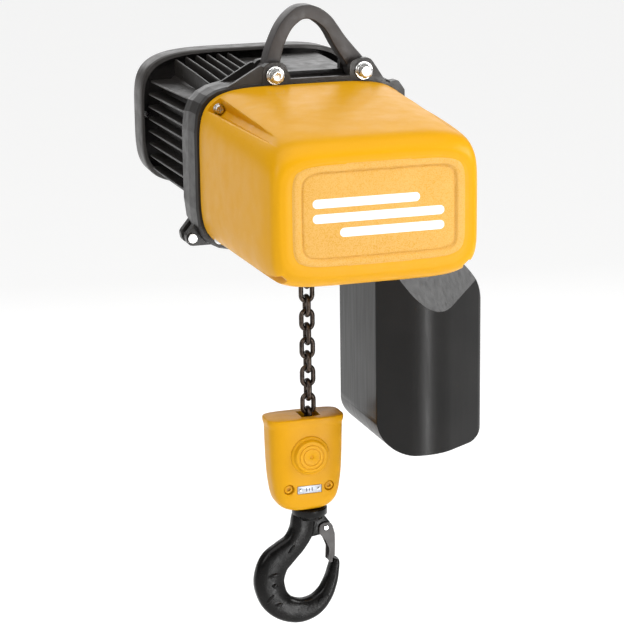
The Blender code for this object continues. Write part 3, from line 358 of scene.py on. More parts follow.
def loft(name, rings, look=None, cap_start=True, cap_end=True):
    """A skin over rings of equal length, given in millimetres."""
    bm = bmesh.new()
    rows = [[bm.verts.new(Vector(point) * MM) for point in ring] for ring in rings]
    count = len(rows[0])
    for low, high in zip(rows, rows[1:]):
        for i in range(count):
            j = (i + 1) % count
            bm.faces.new((low[i], low[j], high[j], high[i]))
    if cap_start:
        bm.faces.new(rows[0])
    if cap_end:
        bm.faces.new(rows[-1])
    return from_bmesh(name, bm, look)


def on_axis(axis, a, b, along):
    """A point from its two coordinates across an axis and its place along it."""
    return {"X": (along, a, b), "Y": (a, along, b), "Z": (a, b, along)}[axis]


def prism(name, axis, outline, low, high, look=None):
    rings = [[on_axis(axis, a, b, along) for a, b in outline] for along in (low, high)]
    return loft(name, rings, look)


def turned(name, axis, centre, profile, look=None, steps=64, closed=False):
    """A turned shape from (along, radius) points."""
    rings = []
    for i in range(steps):
        angle = TAU * i / steps
        rings.append([
            on_axis(axis, centre[0] + r * math.cos(angle), centre[1] + r * math.sin(angle), along)
            for along, r in profile
        ])
    bm = bmesh.new()
    rows = [[bm.verts.new(Vector(point) * MM) for point in ring] for ring in rings]
    count = len(profile)
    last = count if closed else count - 1
    for i in range(steps):
        here, there = rows[i], rows[(i + 1) % steps]
        for k in range(last):
            n = (k + 1) % count
            bm.faces.new((here[k], here[n], there[n], there[k]))
    bmesh.ops.remove_doubles(bm, verts=bm.verts, dist=1e-7)
    bmesh.ops.dissolve_degenerate(bm, edges=bm.edges, dist=1e-8)
    return from_bmesh(name, bm, look)


def box(name, low, high, look=None):
    outline = [(low[0], low[1]), (high[0], low[1]), (high[0], high[1]), (low[0], high[1])]
    return prism(name, "Z", outline, low[2], high[2], look)


def evaluated(obj):
    bpy.context.view_layer.update()
    graph = bpy.context.evaluated_depsgraph_get()
    return bpy.data.meshes.new_from_object(obj.evaluated_get(graph))


def apply(obj):
    mesh = evaluated(obj)
    obj.modifiers.clear()
    obj.data = mesh
    return obj


def combine(target, operation, others):
    for other in others:
        modifier = target.modifiers.new(operation, "BOOLEAN")
        modifier.operation = operation
        modifier.solver = "EXACT"
        modifier.object = other
    apply(target)
    for other in others:
        bpy.data.objects.remove(other, do_unlink=True)
    return target


def cut(target, *others):
    return combine(target, "DIFFERENCE", others)


def fuse(target, *others):
    return combine(target, "UNION", others)


def keep(target, *others):
    return combine(target, "INTERSECT", others)


def join(target, *others):
    """One object from several closed shells, each with its own material kept."""
    bm = bmesh.new()
    materials = []
    for obj in (target, *others):
        mesh = evaluated(obj)
        mesh.transform(obj.matrix_world)
        slots = []
        for material in mesh.materials:
            if material not in materials:
                materials.append(material)
            slots.append(materials.index(material))
        before = len(bm.faces)
        bm.from_mesh(mesh)
        bm.faces.ensure_lookup_table()
        for face in bm.faces[before:]:
            face.material_index = slots[face.material_index] if slots else 0
    mesh = bpy.data.meshes.new(target.name)
    bm.to_mesh(mesh)
    bm.free()
    for material in materials:
        mesh.materials.append(material)
    target.modifiers.clear()
    target.data = mesh
    for obj in others:
        bpy.data.objects.remove(obj, do_unlink=True)
    return target


def soften(obj, width, segments=3, angle=32):
    """Rounded edges, as on a real casting or pressing."""
    bevel = obj.modifiers.new("edges", "BEVEL")
    bevel.width = width * MM
    bevel.segments = segments
    bevel.limit_method = "ANGLE"
    bevel.angle_limit = math.radians(angle)
    bevel.harden_normals = False
    return obj


def smooth(obj, angle=35):
    obj.data.shade_smooth()
    obj.data.set_sharp_from_angle(angle=math.radians(angle))
    return obj


def place(obj, body, slot, *nodes):
    """Rides on its body and stands for those CAD nodes, which it hides; slot is not used."""
    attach(obj, body)
    if nodes:
        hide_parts(*nodes)
    return obj


def superellipse(half_width, half_height, power, count):
    points = []
    for i in range(count):
        angle = TAU * (i + 0.5) / count
        c, s = math.cos(angle), math.sin(angle)
        points.append((
            half_width * math.copysign(abs(c) ** (2 / power), c),
            half_height * math.copysign(abs(s) ** (2 / power), s),
        ))
    return points


def smooth_rows(rows, steps):
    """Catmull-Rom rows of numbers through the given ones."""
    path = [list(map(float, row)) for row in rows]
    first = [2 * a - b for a, b in zip(path[0], path[1])]
    last = [2 * a - b for a, b in zip(path[-1], path[-2])]
    path = [first, *path, last]
    found = []
    for a, b, c, d in zip(path, path[1:], path[2:], path[3:]):
        for k in range(steps):
            t = k / steps
            found.append([
                0.5 * (2 * q + (r - p) * t + (2 * p - 5 * q + 4 * r - s) * t * t
                       + (3 * q - p - 3 * r + s) * t ** 3)
                for p, q, r, s in zip(a, b, c, d)
            ])
    found.append(path[-2])
    return found


def lerp_row(rows, key):
    """Numbers of a table at a place along its first column."""
    rows = sorted(rows)
    if key <= rows[0][0]:
        return rows[0][1:]
    for a, b in zip(rows, rows[1:]):
        if key <= b[0]:
            t = (key - a[0]) / (b[0] - a[0])
            return tuple(p + (q - p) * t for p, q in zip(a[1:], b[1:]))
    return rows[-1][1:]


def fillet(corners, steps=8):
    """An outline from (a, b, radius) corners, each rounded."""
    outline = []
    for i, (x, y, radius) in enumerate(corners):
        here = Vector((x, y))
        before = Vector(corners[i - 1][:2]) - here
        after = Vector(corners[(i + 1) % len(corners)][:2]) - here
        half = before.angle(after) / 2
        inward = (before.normalized() + after.normalized()).normalized()
        centre = here + inward * radius / math.sin(half)
        start = here + before.normalized() * radius / math.tan(half) - centre
        sweep = math.pi - 2 * half
        if start.x * (here - centre).y - start.y * (here - centre).x < 0:
            sweep = -sweep
        for k in range(steps + 1):
            outline.append(tuple(centre + Matrix.Rotation(sweep * k / steps, 2) @ start))
    return outline


# ---------------------------------------------------------------- yellow cover

COVER_RINGS = [
    # y, half width, top, bottom, power
    (-22.0, 109.0, -62.5, -225.5, 5.0),
    (-60.0, 109.5, -65.5, -225.0, 5.0),
    (-120.0, 108.3, -70.5, -224.0, 5.2),
    (-175.0, 106.3, -76.0, -223.0, 5.5),
    (-208.0, 104.5, -80.0, -222.0, 5.8),
    (-224.0, 102.2, -83.5, -220.0, 6.0),
    (-233.0, 100.0, -89.0, -215.5, 6.0),
    (-238.0, 95.5, -95.0, -209.5, 5.8),
    (-239.3, 89.5, -101.0, -204.0, 5.8),
]
PANEL_X, PANEL_Z = -5.5, -151.0
PANEL_RINGS = [
    # y, half width, half height, power
    (-239.3, 86.0, 49.6, 6.4),
    (-239.1, 84.0, 47.8, 7.0),
    (-239.3, 83.2, 47.2, 7.4),
    (-239.8, 82.4, 46.4, 7.8),
    (-240.0, 81.6, 45.8, 8.2),
    (-240.0, 77.2, 42.4, 9.0),
    (-239.8, 76.4, 41.7, 9.5),
    (-239.2, 75.7, 41.1, 9.5),
    (-238.3, 75.2, 40.6, 9.5),
    (-238.0, 74.6, 40.1, 9.5),
    (-238.2, 73.8, 39.4, 9.5),
    (-238.7, 73.2, 38.9, 9.5),
    (-238.9, 72.4, 38.2, 9.5),
]
RING_POINTS = 320
WALL = 3.5
GROOVE_END = -31.0
GROOVE_DEPTH = 5.6
GROOVE_HALF = 3.6
GROOVE_SLOPE = 2.4
GROOVE_REACH = 16.0


def soft_min(a, b, k):
    h = max(0.0, min(1.0, 0.5 + 0.5 * (b - a) / k))
    return b + (a - b) * h - k * h * (1 - h)


def grooved(x, y, z):
    """The point of the cover's skin, sunk where the groove of a corner screw passes."""
    for cx, cz in COVER_SCREWS:
        side = math.copysign(1, cx - BODY_X)
        up = math.copysign(1, cz - BODY_Z)
        out = Vector((side * 0.68, up * 0.73)).normalized()
        across = Vector((-out.y, out.x))
        q = Vector((x - cx, z - cz))
        a, b = q.dot(across), q.dot(out)
        if abs(a) > GROOVE_REACH or b < -GROOVE_REACH:
            continue
        floor = -GROOVE_DEPTH + max(0.0, abs(a) - GROOVE_HALF) * GROOVE_SLOPE
        sunk = soft_min(b, floor, 1.6)
        if sunk < b:
            point = Vector((cx, cz)) + across * a + out * sunk
            return point.x, point.y
    return x, z


def cover_ring(y, half, top, bottom, power, groove, centre_x=BODY_X):
    middle = (top + bottom) / 2
    ring = []
    for a, b in superellipse(half, (top - bottom) / 2, power, RING_POINTS):
        x, z = centre_x + a, middle + b
        if groove:
            x, z = grooved(x, y, z)
        ring.append((x, y, z))
    return ring


def front_cover():
    rows = smooth_rows(COVER_RINGS, 7)
    seat = lerp_row(COVER_RINGS, GROOVE_END)
    outer = [cover_ring(-22.0, *COVER_RINGS[0][1:], False)]
    outer.append(cover_ring(GROOVE_END, *seat, False))
    outer += [cover_ring(GROOVE_END - 0.25, *seat, True)]
    outer += [cover_ring(row[0], *row[1:], True) for row in rows if row[0] < GROOVE_END - 1]
    for y, half_width, half_height, power in PANEL_RINGS:
        outer.append(cover_ring(
            y, half_width, PANEL_Z + half_height, PANEL_Z - half_height, power, False, PANEL_X
        ))
    inner = [
        cover_ring(y, half - WALL, top - WALL, bottom + WALL, 3.0, False)
        for y, half, top, bottom, _ in COVER_RINGS[:6]
    ]
    inner.append(cover_ring(-235.5, 92.0, -97.5, -207.0, 3.0, False))
    cover = loft("cover_shell", outer[::-1] + inner, "yellow")
    cover.data.materials.append(LOOKS["panel"])
    for face in cover.data.polygons:
        centre = face.center / MM
        inside = abs((centre.x - PANEL_X) / 84) ** 7 + abs((centre.z - PANEL_Z) / 47.5) ** 7 < 1
        if face.normal.y < -0.2 and inside and centre.y < -238:
            face.material_index = 1
    smooth(cover, 40)
    place(cover, "hoist", "yellow_paint", "front_cover")


def panel_bars():
    """Plain bars printed on the panel, where the original carries a name."""
    bars = []
    spans = ((-70.0, 34.0, -143.5), (-70.0, 58.0, -157.5), (-44.0, 58.0, -171.5))
    for i, (x0, x1, z0) in enumerate(spans):
        z1 = z0 + 8.5
        outline = fillet([(x0, z0, 4.2), (x1, z0, 4.2), (x1, z1, 4.2), (x0, z1, 4.2)], 10)
        bars.append(prism(f"panel_bar_{i}", "Y", outline, -239.05, -238.7, "white_print"))
    bar = join(bars[0], *bars[1:])
    bar.name = "panel_bars"
    soften(bar, 0.12, 2)
    smooth(bar)
    place(bar, "hoist", "yellow_paint")


def cover_screws():
    for i, centre in enumerate(COVER_SCREWS):
        head = turned(
            f"corner_screw_{i + 1}", "Y", centre,
            [(-35.9, 0), (-35.9, 3.4), (-35.4, 4.2), (-34.6, 4.55), (-32.3, 4.6), (-31.9, 5.6),
             (-31.4, 5.7), (-31.3, 5.2), (-31.3, 2.4), (-14, 2.4), (-14, 0)],
            "zinc", 40,
        )
        slots = [
            box("slot", (centre[0] - a, -40, centre[1] - b), (centre[0] + a, -34.3, centre[1] + b))
            for a, b in ((2.7, 0.6), (0.6, 2.7))
        ]
        cut(head, *slots)
        soften(head, 0.15, 2)
        smooth(head)
        place(head, "hoist", "bright_zinc", f"cover_screw_{i + 1}")


# ---------------------------------------------------------------- eye and bolts

EYE_PATH = [
    (-37, -52, 8.0), (-30.5, -27, 6.8), (-20.8, -7, 6.6), (-9, 4.3, 6.9), (1, 6.9, 6.9),
    (11.5, 4.2, 7.0), (21.5, -3.0, 6.8), (28.2, -11.5, 6.6), (37.4, -26.2, 7.6), (56.5, -51.5, 9.6),
]


def bar_sections(path, section, depth_of):
    """Rings of a bent bar: section gives (u, v) across it, path (x, z, half width) along it."""
    rings = []
    for i, (x, z, half) in enumerate(path):
        ahead = path[min(i + 1, len(path) - 1)]
        behind = path[max(i - 1, 0)]
        side = Vector((-(ahead[1] - behind[1]), ahead[0] - behind[0])).normalized()
        depth = depth_of(i / (len(path) - 1))
        wide = side * half
        rings.append([(x + wide.x * u, depth * v, z + wide.y * u) for u, v in section])
    return rings


def suspension_eye():
    path = smooth_rows(EYE_PATH, 9)
    section = fillet([(1, 1, 0.16), (-1, 1, 0.16), (-1, -1, 0.16), (1, -1, 0.16)], 5)
    eye = loft("eye_bar", bar_sections(path, section, lambda t: 10.0), "bar")
    feet = [
        turned(f"eye_foot_{i}", "Y", bolt,
               [(-10.5, 5.3), (-10.5, 10.6), (-9.6, 11.6), (9.6, 11.6), (10.5, 10.6), (10.5, 5.3)],
               "bar", 64, closed=True)
        for i, bolt in enumerate((LEFT_BOLT, RIGHT_BOLT))
    ]
    eye = join(eye, *feet)
    smooth(eye, 38)
    place(eye, "hoist", "black_steel", "suspension_eye")


def hex_head(name, centre, base, tip, across):
    """A chamfered hexagon from base to tip along Y."""
    corner = across / math.sqrt(3)
    outline = [
        (centre[0] + corner * math.cos(angle), centre[1] + corner * math.sin(angle))
        for angle in (TAU * (i + 0.35) / 6 for i in range(6))
    ]
    head = prism(name, "Y", outline, min(base, tip), max(base, tip), "zinc")
    way = math.copysign(1, tip - base)
    flat = across * 0.47
    dome = turned("dome", "Y", centre, [
        (tip, 0), (tip, flat), (tip - way * (corner + 0.4 - flat) * 0.55, corner + 0.4),
        (base - way, corner + 0.4), (base - way, 0),
    ], "zinc", 64)
    return keep(head, dome)


def eye_bolts():
    for side, bolt in (("left", LEFT_BOLT), ("right", RIGHT_BOLT)):
        head = hex_head(f"bolt_{side}", bolt, -23.4, -29.0, 13.0)
        washer = turned("washer", "Y", bolt, [
            (-20.4, 0), (-20.4, 8.8), (-20.8, 9.2), (-21.6, 9.2), (-22.0, 8.8), (-22.0, 7.4),
            (-22.3, 7.5), (-23.2, 7.5), (-23.5, 7.1), (-23.5, 0),
        ], "zinc", 56)
        shank = turned("shank", "Y", bolt, [
            (-24, 0), (-24, 5), (29.2, 5), (30, 4.2), (30, 0)], "zinc", 40)
        dimple = turned("dimple", "Y", bolt, [
            (-28.8, 0), (-28.8, 3.0), (-29.02, 3.3), (-29.3, 3.3), (-29.3, 0)], "zinc", 40)
        cut(head, dimple)
        soften(head, 0.25, 2)
        head = join(head, washer, shank)
        smooth(head, 30)
        place(head, "hoist", "bright_zinc", f"eye_bolt_{side}")
        nut = hex_head(f"nut_{side}", bolt, 20.3, 28.3, 13.0)
        soften(nut, 0.25, 2)
        smooth(nut, 30)
        place(nut, "hoist", "bright_zinc", f"eye_nut_{side}")


# ---------------------------------------------------------------- motor

CORE = [(26.3, 101, -66, -205), (86.3, 101, -64, -200), (168.0, 101, -61, -193)]
ENVELOPE = [(26.3, 112, -62, -219), (86.3, 112.5, -58, -212), (168.0, 113, -54, -199)]
ENVELOPE_POWER = 4.6


def other_share(share):
    """Where the fins' envelope is along one of its half axes, from its share of the other."""
    return max(0.0, 1 - min(share, 1) ** ENVELOPE_POWER) ** (1 / ENVELOPE_POWER)


def envelope_side(y, z):
    half, top, bottom = lerp_row(ENVELOPE, y)
    return half * other_share(abs(z - (top + bottom) / 2) / ((top - bottom) / 2))


def envelope_height(y, x):
    half, top, bottom = lerp_row(ENVELOPE, y)
    rise = (top - bottom) / 2 * other_share(abs(x - BODY_X) / half)
    return (top + bottom) / 2 + rise, (top + bottom) / 2 - rise


FIN_YS = [26.3, 27.0, 28.2, 50, 75, 86.3, 110, 135, 160, 166.4, 167.6, 168.0]


def fin(name, line_of):
    """A thin cast fin, rounded at its edge: line_of(y) gives its root, its tip and its thin way."""
    rings = []
    for y in FIN_YS:
        root, tip, thin = (Vector(v) for v in line_of(y))
        shrink = {26.3: 1.1, 27.0: 0.35, 167.6: 0.35, 168.0: 1.1}.get(y, 0.0)
        out = (tip - root).normalized()
        tip = tip - out * shrink
        profile = [(root, -2.1), (tip - out * 1.6, -1.25), (tip - out * 0.5, -0.95), (tip, -0.45),
                   (tip, 0.45), (tip - out * 0.5, 0.95), (tip - out * 1.6, 1.25), (root, 2.1)]
        rings.append([(p.x + thin.x * s, y, p.y + thin.y * s) for p, s in profile])
    return loft(name, rings, "casting")


def motor_housing():
    rows = smooth_rows(CORE, 6)
    rings = [[(BODY_X + a, y, (t + b) / 2 + c) for a, c in superellipse(h, (t - b) / 2, 3.2, 160)]
             for y, h, t, b in rows]
    core = loft("motor_body", rings, "casting")
    fins = []
    for side in (-1, 1):
        for i in range(8):
            z = -80 - 13.2 * i
            fins.append(fin(f"side_fin_{side}_{i}", lambda y, z=z, side=side: (
                (BODY_X + side * 66, z), (BODY_X + side * envelope_side(y, z), z), (0, 1))))
    for i in range(6):
        x = -88 + 11.5 * i
        fins.append(fin(f"top_fin_{i}", lambda y, x=x: (
            (x, -96), (x, envelope_height(y, x)[0]), (1, 0))))
    for i in range(5):
        x = -60 + 24 * i
        fins.append(fin(f"low_fin_{i}", lambda y, x=x: (
            (x, -170), (x, envelope_height(y, x)[1]), (1, 0))))
    saddle_rings = []
    for y in FIN_YS:
        shrink = {26.3: 1.6, 27.0: 0.5, 167.6: 0.5, 168.0: 1.6}.get(y, 0.0)
        ring = [(4 + shrink, y, -84)]
        for k in range(25):
            t = k / 24
            x = 4 + shrink + (68 - 2 * shrink) * t
            edge = min(t, 1 - t) * 68
            drop = 3.2 * max(0.0, 1 - edge / 5) ** 2
            ring.append((x, y, min(-58.5, envelope_height(y, x)[0] - 1.0) - drop - shrink))
        ring.append((72 - shrink, y, -84))
        saddle_rings.append(ring)
    saddle = loft("saddle", saddle_rings, "casting")
    cut(
        core,
        turned("clear", "Y", (118, -250), [(10, 0), (10, 34), (64, 34), (64, 0)], None, 96),
        box("terminal_seat", (97, 50, -230), (130, 132, -85)),
    )
    for piece in fins:
        points = [vertex.co / MM for vertex in piece.data.vertices]
        if max(point.x for point in points) > 97 and abs(points[0].z + 125) < 60:
            cut(piece, box("seat", (97, 50, -230), (130, 132, -85)))
    body = join(core, saddle, *fins)
    smooth(body, 40)
    place(body, "hoist", "black_casting", "motor_housing")


# ---------------------------------------------------------------- fan cover

FAN_RINGS = [
    (172.0, 118.5, -50.5, -193.5, 4.6),
    (173.0, 119.2, -49.8, -194.2, 4.6),
    (176.0, 119.5, -49.5, -194.5, 4.6),
    (204.0, 119.0, -50.0, -194.0, 4.5),
    (210.0, 117.8, -51.2, -192.8, 4.4),
    (214.0, 115.5, -53.5, -190.5, 4.3),
    (216.8, 112.3, -56.7, -187.3, 4.2),
    (218.0, 108.0, -61.0, -183.0, 4.1),
]


COWL_WALL = 2.5


def fan_cover():
    def ring(y, half, top, bottom, power):
        return [(BODY_X + a, y, (top + bottom) / 2 + b)
                for a, b in superellipse(half, (top - bottom) / 2, power, 200)]

    outer = [ring(*row) for row in FAN_RINGS]
    inner = [
        ring(y, half - COWL_WALL, top - COWL_WALL, bottom + COWL_WALL, 4.2)
        for y, half, top, bottom, _ in FAN_RINGS[:6]
    ]
    inner[-1] = ring(213.5, 113.5, -55.5, -188.5, 4.2)
    inner.append(ring(215.5, 106.0, -63.0, -181.0, 4.0))
    cover = loft("fan_cowl", outer[::-1] + inner, "sheet")
    slots = []
    for number, (radius, count) in enumerate(((26, 7), (46, 10))):
        for i in range(count):
            outline = fillet([(radius - 8, -3.2, 3.1), (radius + 8, -3.2, 3.1),
                              (radius + 8, 3.2, 3.1), (radius - 8, 3.2, 3.1)], 6)
            slot = prism(f"slot_{number}_{i}", "Y", outline, 200, 230)
            spin = Matrix.Rotation(TAU * i / count + 0.11, 4, "Y")
            centre = Vector((MOTOR_AXIS[0], 0, MOTOR_AXIS[1])) * MM
            slot.data.transform(Matrix.Translation(centre) @ spin)
            slots.append(slot)
    cut(cover, *slots)
    soften(cover, 0.5, 2, 50)
    smooth(cover, 35)
    place(cover, "hoist", "black_sheet", "fan_cover")


# ---------------------------------------------------------------- chain


def link_mesh(bm, centre, along, side):
    """One welded round-wire link with its straight sides."""
    along, side = Vector(along).normalized(), Vector(side).normalized()
    across = along.cross(side)
    bend, straight, sides = 6.0, 4.0, 14
    spine = []
    for end in (1, -1):
        for k in range(13):
            angle = math.pi * (k / 12 - 0.5)
            spine.append((end * (straight + bend * math.cos(angle)), end * bend * math.sin(angle)))
    rows = []
    for i, (a, b) in enumerate(spine):
        before, after = spine[i - 1], spine[(i + 1) % len(spine)]
        tangent = Vector((after[0] - before[0], after[1] - before[1])).normalized()
        normal = Vector((tangent.y, -tangent.x))
        row = []
        for k in range(sides):
            angle = TAU * k / sides
            swell = 1.0 + (0.07 if abs(b) > 5.7 and b > 0 and abs(a) < 2.5 else 0.0)
            off = normal * math.cos(angle) * WIRE * swell
            point = Vector(centre) + along * (a + off.x) + side * (b + off.y)
            point += across * math.sin(angle) * WIRE * swell
            row.append(bm.verts.new(point * MM))
        rows.append(row)
    for i, row in enumerate(rows):
        after = rows[(i + 1) % len(rows)]
        for k in range(sides):
            n = (k + 1) % sides
            bm.faces.new((row[k], row[n], after[n], after[k]))


def strand(name, links, node, body):
    bm = bmesh.new()
    for each in links:
        link_mesh(bm, *each)
    obj = from_bmesh(name, bm, "chain")
    smooth(obj, 80)
    place(obj, body, "black_steel", node)


SLACK_ROUTE = [
    (48.8, 0, -205), (57, 0, -215), (70, 0, -223), (83, 0, -235), (90, 1, -256), (93, 3, -290),
    (94, 4, -330), (96, 4, -370), (101, 4, -405), (112, 4, -424),
]


def chains():
    fall = []
    for i in range(18):
        wide = (0, 1, 0) if i % 2 == 0 else (1, 0, 0)
        fall.append(((0, 0, FALL_TOP - CHAIN_PITCH * i), (0, 0, -1), wide))
    strand("fall_links", fall, "load_chain", "lower_block")
    seated = []
    for step in (2, 3, 4, 5):
        angle = math.radians(180 - 36 * step)
        out = Vector((math.cos(angle), 0, math.sin(angle)))
        centre = Vector((WHEEL_AXIS[0], 0, WHEEL_AXIS[1])) + out * 24.2
        seated.append((centre, (-out.z, 0, out.x), (0, 1, 0) if step % 2 == 0 else tuple(out)))
    strand("seated_links", seated, "wheel_chain", "wheel")
    route = [Vector(row) for row in smooth_rows(SLACK_ROUTE, 24)]
    spots = [route[0]]
    for point in route:
        if (point - spots[-1]).length >= CHAIN_PITCH:
            spots.append(point)
    slack = []
    for i, spot in enumerate(spots):
        along = (spots[min(i + 1, len(spots) - 1)] - spots[max(i - 1, 0)]).normalized()
        first = (Vector((0, 1, 0)) - along * along.y).normalized()
        slack.append((spot, along, first if i % 2 else along.cross(first)))
    strand("slack_links", slack, "slack_chain", "hoist")


# ---------------------------------------------------------------- container

NOSE_RADIUS = 55.0


def container_form(name, inset, look=None):
    plan = fillet([
        (55 + inset, 60 - inset, 5 - inset / 2), (55 + inset, -58 + inset, 4 - inset / 2),
        (110, -82 + inset, NOSE_RADIUS - inset), (180 - inset, -38 + inset, 16 - inset / 2),
        (180 - inset, 60 - inset, 8 - inset),
    ], 16)
    front = fillet([
        (55 + inset, -232 - inset, 2), (55 + inset, -447 + inset, 38 - inset),
        (180 - inset, -447 + inset, 20 - inset), (180 - inset, -232 - inset, 80 - inset),
    ], 20)
    solid = prism(name, "Z", plan, -460, -220, look)
    keep(solid, prism("front", "Y", front, -100, 100))
    start = Vector((109, -75.8, -295))
    facing = Vector((0.274, -0.848, 0.454)).normalized()
    block = box("facet", (-150, -150, 0), (150, 150, 150))
    turn = facing.to_track_quat("Z", "Y").to_matrix().to_4x4()
    block.data.transform(Matrix.Translation((start - facing * inset) * MM) @ turn)
    return cut(solid, block)


def container():
    outer = container_form("slack_container", 0, "container")
    inner = container_form("room", 3.0)
    cut(outer, inner, box("mouth", (60, -24, -245), (106, 56, -225)))
    soften(outer, 1.6, 4, 24)
    smooth(outer, 30)
    place(outer, "hoist", "black_plastic", "chain_container")


# ---------------------------------------------------------------- hook block

BLOCK_RINGS = [
    # z, half width, half depth, power
    (-412.0, 40.4, 19.0, 4.4),
    (-412.4, 41.1, 19.7, 4.4),
    (-413.4, 41.5, 20.1, 4.4),
    (-416.0, 41.6, 20.5, 4.2),
    (-418.4, 41.1, 20.5, 4.1),
    (-420.6, 40.5, 20.4, 4.0),
    (-424.0, 40.2, 20.4, 4.0),
    (-450.0, 39.5, 20.8, 4.0),
    (-472.0, 38.4, 20.6, 4.0),
    (-486.0, 36.8, 20.3, 3.9),
    (-495.0, 35.3, 19.8, 3.7),
    (-502.5, 32.6, 18.9, 3.5),
    (-508.5, 27.8, 17.0, 3.2),
    (-512.0, 21.5, 14.4, 2.9),
    (-513.0, 15.0, 11.6, 2.5),
]


def plate_outline(x, half_width, half_height, radius, steps):
    """A rounded rectangle at the height of the capacity plate."""
    low, high = PLATE_Z - half_height, PLATE_Z + half_height
    return fillet([
        (x - half_width, low, radius), (x + half_width, low, radius),
        (x + half_width, high, radius), (x - half_width, high, radius),
    ], steps)


def block_half(side):
    """One shell, from the split plane out to the block's skin."""
    rings = []
    for z, half, depth, power in smooth_rows(BLOCK_RINGS, 5):
        ring = []
        for a, b in superellipse(half, depth, power, 192):
            ring.append((BLOCK_X + a, b * side, z))
        rings.append(ring)
    shell = loft("half", rings, "yellow")
    reach = sorted((side * 0.15, side * 60.0))
    return keep(shell, box("side", (-80, reach[0], -540), (80, reach[1], -390)))


def boss(side):
    profile = [
        (25.5, 0), (25.6, 1.3), (26.8, 2.1), (27, 2.5), (27, 8.4), (26.4, 8.8), (26.4, 9.4),
        (27, 9.8), (27, 12.2), (26.3, 12.6), (26.3, 13.3), (26.9, 13.7), (26.7, 16.3), (25.8, 17.2),
        (23.6, 17.7), (22.8, 18.2), (22.4, 19.9), (21.4, 20.8), (14, 21.2), (14, 0),
    ]
    profile = [(side * along, radius) for along, radius in profile]
    return turned("boss", "Y", BOSS, profile, "yellow", 128)


def hook_block():
    for name, side in (("block_front", -1), ("block_rear", 1)):
        shell = block_half(side)
        shell.name = name
        cutters = [
            box("chain_room", (-10.5, -10.5, -449), (10.5, 10.5, -300)),
            turned("nut_room", "Z", (0, 0), [(-494.3, 0), (-494.3, 12.6), (-466, 12.6), (-466, 0)]),
            turned("shank_hole", "Z", (0, 0), [(-540, 0), (-540, 9.5), (-480, 9.5), (-480, 0)]),
        ]
        if side < 0:
            for centre in BLOCK_SCREWS:
                cutters.append(turned("screw_room", "Y", centre, [
                    (-30, 0), (-30, 6.1), (-19.4, 6.0), (-18.6, 5.4), (-14.5, 5.3), (-14.5, 0),
                ], None, 56))
            seat = plate_outline(BLOCK_X, 13.6, 4.6, 1, 4)
            cutters.append(prism("plate_seat", "Y", seat, -30, -19.0))
        else:
            for centre in BLOCK_SCREWS:
                cutters.append(turned("screw_end", "Y", centre, [
                    (-5, 0), (-5, 2.8), (13, 2.8), (13, 0)], None, 32))
        cut(shell, *cutters)
        fuse(shell, boss(side))
        soften(shell, 0.5, 2, 42)
        smooth(shell, 34)
        place(shell, "lower_block", "yellow_paint", f"{name}_shell")


def block_trim():
    for name, centre in zip(("left", "right"), BLOCK_SCREWS):
        head = turned(f"shell_screw_{name}", "Y", centre, [
            (-17.5, 0), (-17.5, 3.6), (-17.2, 4.4), (-16.5, 4.85), (-14.8, 4.9), (-14.8, 2.5),
            (12.5, 2.5), (12.5, 0)], "yellow", 48)
        star = []
        for k in range(36):
            angle = TAU * k / 36
            radius = 2.15 + 0.4 * math.cos(6 * angle)
            star.append((centre[0] + radius * math.cos(angle), centre[1] + radius * math.sin(angle)))
        cut(head, prism("socket", "Y", star, -20, -15.6))
        soften(head, 0.15, 2)
        smooth(head, 34)
        place(head, "lower_block", "bright_zinc", f"block_screw_{name}")
    plate = prism(
        "capacity_sheet", "Y", plate_outline(BLOCK_X, PLATE_HALF, 4, 0.8, 4), -20.1, -19.3, "plate"
    )
    soften(plate, 0.15, 2)
    extras = [
        turned(f"rivet_{i}", "Y", (x, PLATE_Z), [
            (-21.1, 0), (-21.0, 0.9), (-20.7, 1.5), (-20.1, 1.75), (-19.6, 1.75), (-19.6, 0),
        ], "zinc", 28)
        for i, x in enumerate((BLOCK_X - PLATE_HALF + 3, BLOCK_X + PLATE_HALF - 3))
    ]
    extras += [
        prism(f"mark_{i}", "Y", plate_outline(x, 0.6, height, 0.3, 3), -20.16, -20.0, "dark_print")
        for i, (x, height) in enumerate(((-9.2, 2.0), (-6.2, 1.4), (-3.2, 2.0)))
    ]
    plate = join(plate, *extras)
    smooth(plate, 34)
    place(plate, "lower_block", "plate_metal", "capacity_plate")


# ---------------------------------------------------------------- hook

HOOK_PATH = [
    (-4.8, -517.0, 11.0), (-5.6, -521.0, 12.4), (-7.4, -527.5, 12.8), (-9.6, -540.0, 13.2),
    (-17.7, -553.2, 12.6), (-28.8, -562.7, 14.4), (-40.3, -573.1, 16.4), (-45.7, -587.6, 16.6),
    (-45.2, -599.7, 16.3), (-39.9, -613.5, 15.4), (-28.3, -624.4, 14.0), (-12.1, -629.0, 13.1),
    (3.7, -624.9, 11.3), (15.3, -613.8, 8.8), (22.2, -599.3, 7.0), (25.3, -587.2, 5.8),
    (27.0, -579.0, 4.7), (27.5, -575.6, 3.6),
]


def hook_section():
    """Across the hook: flat sides, a full round inner edge and a flatter back."""
    points = []
    for k in range(48):
        angle = TAU * k / 48
        c, s = math.cos(angle), math.sin(angle)
        u = math.copysign(abs(c) ** (2 / 2.9), c)
        v = math.copysign(abs(s) ** (2 / 2.9), s)
        points.append((u, v * (1 - 0.07 * (u + 1))))
    return points


